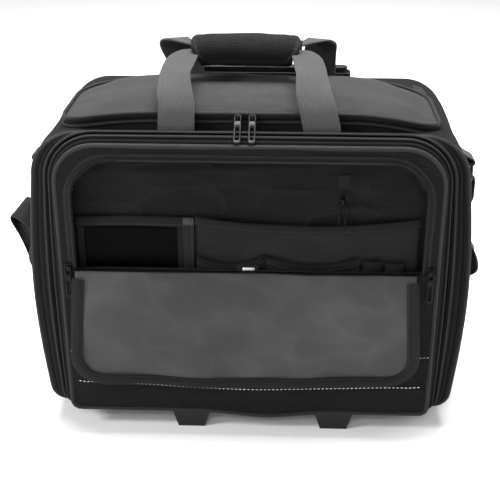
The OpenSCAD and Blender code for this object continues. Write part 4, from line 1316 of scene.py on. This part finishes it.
def bottle_pocket():
    low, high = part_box("bottle_pocket")
    ny, nz = 60, 44
    profile = [(0.0, 0.232), (0.062, 0.2335), (0.07, 0.2445), (0.084, 0.2485), (0.12, 0.2535), (0.196, 0.2545),
               (0.222, 0.2525), (0.236, 0.2495)]

    def reach(z):
        for (z0, x0), (z1, x1) in zip(profile, profile[1:]):
            if z <= z1:
                return x0 + (x1 - x0) * max(0.0, (z - z0) / (z1 - z0))
        return profile[-1][1]

    def wall(z):
        t = (z - BASE_Z - BASE_R) / (RIM_Z - SHOULDER_R - BASE_Z - BASE_R)
        return SIDE_X + SIDE_BULGE * math.sin(math.pi * min(max(t, 0), 1))

    rows = []
    for j in range(nz + 1):
        z = low.z + (high.z - low.z) * j / nz
        row = []
        for i in range(ny + 1):
            s = i / ny
            y = low.y - 0.001 + (high.y - low.y + 0.002) * s
            ends = min(1.0, s * 9, (1 - s) * 9)
            depth = (reach(z) - wall(z)) * math.sqrt(max(0.0, 1 - (1 - ends) ** 2))
            gather = 0.0013 * math.sin(y * 620 + wander((y, 0, 0), 30) * 2) * max(0.0, (z - low.z) / 0.174) ** 3 * ends
            soft = wander((0, y, z), 22, 4.0) * 0.002 * ends
            dip = 0.004 * math.sin(math.pi * s) * (j / nz) ** 4
            row.append(Vector((wall(z) + 0.0012 + max(0.0, depth) + gather + soft, y, z - dip)))
        rows.append(row)
    obj = grid("bottle_pocket_cloth", rows, SMOOTH_NYLON, "body", ("bottle_pocket",), False, False,
               0.0014)
    top = [p + Vector((0.0004, 0, 0.0005)) for p in rows[-1]]
    tube("bottle_pocket_binding", top, [(a, b * 2.6) for a, b in round_profile(0.0016, 10)], DARK_BINDING, "body",
         (), False, UP)
    for n, drop in enumerate((3, 5)):
        beads(f"elastic_stitches_{n}", [p + Vector((0.0004, 0, 0)) for p in rows[-drop]], RIGHT, 0.0028, FINE_STITCH,
              DARK_THREAD, "body", "ballistic_nylon")
    edge = [rows[j][0] for j in range(nz, -1, -1)] + rows[0][1:] + [rows[j][-1] for j in range(1, nz + 1)]
    beads("bottle_pocket_stitches", [p + Vector((0.001, 0, 0)) for p in edge], RIGHT, 0.0032, FINE_STITCH, DARK_THREAD,
          "body", "ballistic_nylon")


# ---- inside ----

def padded_board(name, node, material, face, swell=0.0012, hole=None):
    """A lining-covered board: both faces softly padded inside the node's own outline."""
    low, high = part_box(node)
    count = 200
    inset = SIDE_X + SIDE_BULGE - high.x + 0.0006
    loop = outline(SIDE_X - inset, low.z + 0.0003, min(high.z, RIM_Z - inset), max(0.048 - inset, 0.004)
                   if high.z > 0.32 else 0.003, max(0.016 - inset, 0.003), SIDE_BULGE if high.z > 0.32 else 0.0115)
    rim = resample(loop, count)
    centre = Vector((0, (low.z + high.z) / 2))
    for side, y in ((FRONT, low.y), (BACK, high.y)):
        rows = []
        for j in range(17):
            t = j / 16
            row = []
            for p in rim:
                q = p.lerp(centre, min(t, 0.99))
                lift = swell * min(1.0, t * 5) + wander((q.x, 0, q.y), 8, 1.0) * 0.0006 * min(1, t * 5) - 0.0004
                row.append(Vector((q.x, y, q.y)) + side * lift)
            rows.append(row)
        verts, faces, uvs = grid_mesh(rows, True, side.y > 0)
        if hole:
            kept = [k for k, f in enumerate(faces) if not hole(sum((verts[v] for v in f), Vector()) / 4)]
            faces, uvs = [faces[k] for k in kept], [uvs[k] for k in kept]
        obj = piece(name + ("_front" if side.y < 0 else "_rear"), verts, faces, uvs, material, "body",
                    (node,) if side.y < 0 else ())
        planar(obj, 0, 2)
    edge = [Vector((p.x, (low.y + high.y) / 2, p.y)) for p in rim]
    half = (high.y - low.y) / 2
    square = [(half * 0.9, 0.0005), (-half * 0.9, 0.0005), (-half * 0.9, -0.0006), (half * 0.9, -0.0006)]
    tube(name + "_edge", edge, square, BINDING, "body", (), True, [Vector((p.x, 0, p.y - centre.y)).normalized()
                                                                      for p in rim])


def interior():
    def bays(c):
        return (0.151 < abs(c.x) < 0.193 and c.z < 0.074) or (abs(c.x) < 0.117 and c.z > 0.335)
    padded_board("front_wall", "main_front_wall", LINING_SATIN, 1)
    padded_board("divider_pad", "divider", LINING_SATIN, 1)
    padded_board("tube_cover", "trolley_lining", LINING_SATIN, 1, 0.0008, bays)


# ---- zip sliders and pulls ----

def plate_with_slot(name, top, down, wide, length, half, thick, material, body, replaces=()):
    """Slotted flat pull: hangs from top along down, wide across."""
    out = wide.cross(down).normalized()
    outer = oblong(2 * half, length, half * 0.7, 5)
    inner = oblong(2 * half - 0.0034, length * 0.56, half * 0.42, 5)
    inner = [(a, b - length * 0.08) for a, b in inner]
    n = len(outer)
    rows = []
    for loop, lift, shrink in ((inner, -1, 0), (outer, -1, 0.0003), (outer, -0.6, 0), (outer, 0.6, 0),
                               (outer, 1, 0.0003), (inner, 1, 0)):
        rows.append([top + wide * a * (1 - shrink / half) + down * (length / 2 - b) + out * lift * thick / 2
                     for a, b in loop])
    verts, faces, uvs = grid_mesh(rows, True, True, True)
    obj = piece(name, verts, faces, uvs, material, body, replaces)
    bevel = obj.modifiers.new("edge", "BEVEL")
    bevel.width = 0.0002
    bevel.segments = 1
    return obj


def pulls():
    for word in ("left", "right"):
        node = "lid_pull_" + word
        low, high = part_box(node)
        x = (low.x + high.x) / 2
        pivot = Vector((x, LID_LOW.y - 0.0062, LID_LOW.z + 0.005))
        lean = math.radians(52)
        down = Vector((0, -math.sin(lean), -math.cos(lean)))
        ring = [pivot + RIGHT * a + down * (0.0035 - b) for a, b in oblong(0.0062, 0.0105, 0.003)]
        tube(f"lid_pull_ring_{word}", ring, round_profile(0.0009, 8), GUNMETAL, node, (), True,
             RIGHT.cross(down))
        plate_with_slot(f"lid_pull_plate_{word}", pivot + down * 0.0065, down, RIGHT, 0.0275, 0.0037, 0.0017,
                        GUNMETAL, node, (node,))
        node = "front_pull_" + word
        low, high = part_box(node)
        side = -1 if word == "left" else 1
        start = Vector((high.x if side < 0 else low.x, (low.y + high.y) / 2, (low.z + high.z) / 2))
        down = RIGHT * side
        wide = Vector((0, 0.35, -0.94)).normalized()
        ring = [start + wide * a + down * (0.0035 - b) for a, b in oblong(0.0062, 0.0105, 0.003)]
        tube(f"front_pull_ring_{word}", ring, round_profile(0.0009, 8), GUNMETAL, node, (), True,
             wide.cross(down))
        plate_with_slot(f"front_pull_plate_{word}", start + down * 0.0065, down, wide, 0.0245, 0.0034, 0.0016,
                        GUNMETAL, node, (node,))
        node = "pocket_pull_" + word
        low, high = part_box(node)
        start = Vector(((low.x + high.x) / 2, (low.y + high.y) / 2, high.z))
        down = -UP
        ring = [start + RIGHT * a + down * (0.003 - b) for a, b in oblong(0.006, 0.0105, 0.0028)]
        tube(f"pocket_pull_ring_{word}", ring, round_profile(0.0008, 8), BLACK_LACQUER, node, (), True,
             FRONT)
        plate_with_slot(f"pocket_pull_plate_{word}", start + down * 0.006, down, RIGHT, 0.029, 0.0034, 0.0016,
                        BLACK_LACQUER, node, (node,))
    for node, lift in (("lid_slider_left", UP), ("lid_slider_right", UP), ("front_slider_left", UP),
                       ("front_slider_right", UP)):
        low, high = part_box(node)
        middle = (low + high) / 2
        bridge = [Vector((middle.x, low.y - 0.001, low.z + 0.001)), Vector((middle.x, low.y - 0.0024, middle.z)),
                  Vector((middle.x, low.y - 0.001, high.z + 0.0002)), Vector((middle.x, middle.y, high.z + 0.0012)),
                  Vector((middle.x, high.y - 0.001, high.z))]
        path = smooth_path(bridge, 4)
        tube(node + "_bridge", path, [(a * 1.5, b) for a, b in round_profile(0.0009, 8)], GUNMETAL, node,
             (), False, RIGHT)


def hardware():
    """CAD parts whose own shape is right get their finishes."""
    finishes = {
        "front_feet": PLASTIC, "wheel_housings": PLASTIC, "trolley_bracket": PLASTIC, "trolley_bezel": PLASTIC,
        "trolley_grip": GLOSS_PLASTIC, "release_button": BUTTON_PLASTIC, "button_spring": STEEL, "axles": STEEL,
        "housing_screws": STEEL, "hub_left": PLASTIC, "hub_right": PLASTIC, "tyre_left": TYRE, "tyre_right": TYRE,
        "trolley_outer_tubes": DARK_TUBE, "trolley_mid_tubes": BRIGHT_TUBE, "trolley_inner_tubes": BRIGHT_TUBE,
        "base_board": BOARD, "lid_slider_left": GUNMETAL, "lid_slider_right": GUNMETAL,
        "front_slider_left": GUNMETAL, "front_slider_right": GUNMETAL, "pocket_sliders": BLACK_LACQUER,
    }
    for node, material in finishes.items():
        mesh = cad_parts[node].data
        mesh.materials.clear()
        mesh.materials.append(material)
    low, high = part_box("trolley_grip")
    middle_y = (low.y + high.y) / 2
    for n in range(27):
        x = 0.022 + 0.003 * n
        for side, word in ((-1, "l"), (1, "r")):
            rib = [Vector((side * x, middle_y + 0.0072 * math.cos(a), high.z - 0.0035 + 0.0042 * math.sin(a)))
                   for a in [math.pi * k / 10 for k in range(11)]]
            tube(f"grip_rib_{word}{n}", rib, round_profile(0.0009, 6), GLOSS_PLASTIC, "trolley_upper",
                 (), False, RIGHT)


set_stage()
case_skin()
back()
piping()
front_gusset()
lid()
front_face()
mouth_zip()
organizer()
flap()
handles()
grip()
shoulder_strap()
rings()
key_hook()
bottle_pocket()
interior()
pulls()
hardware()
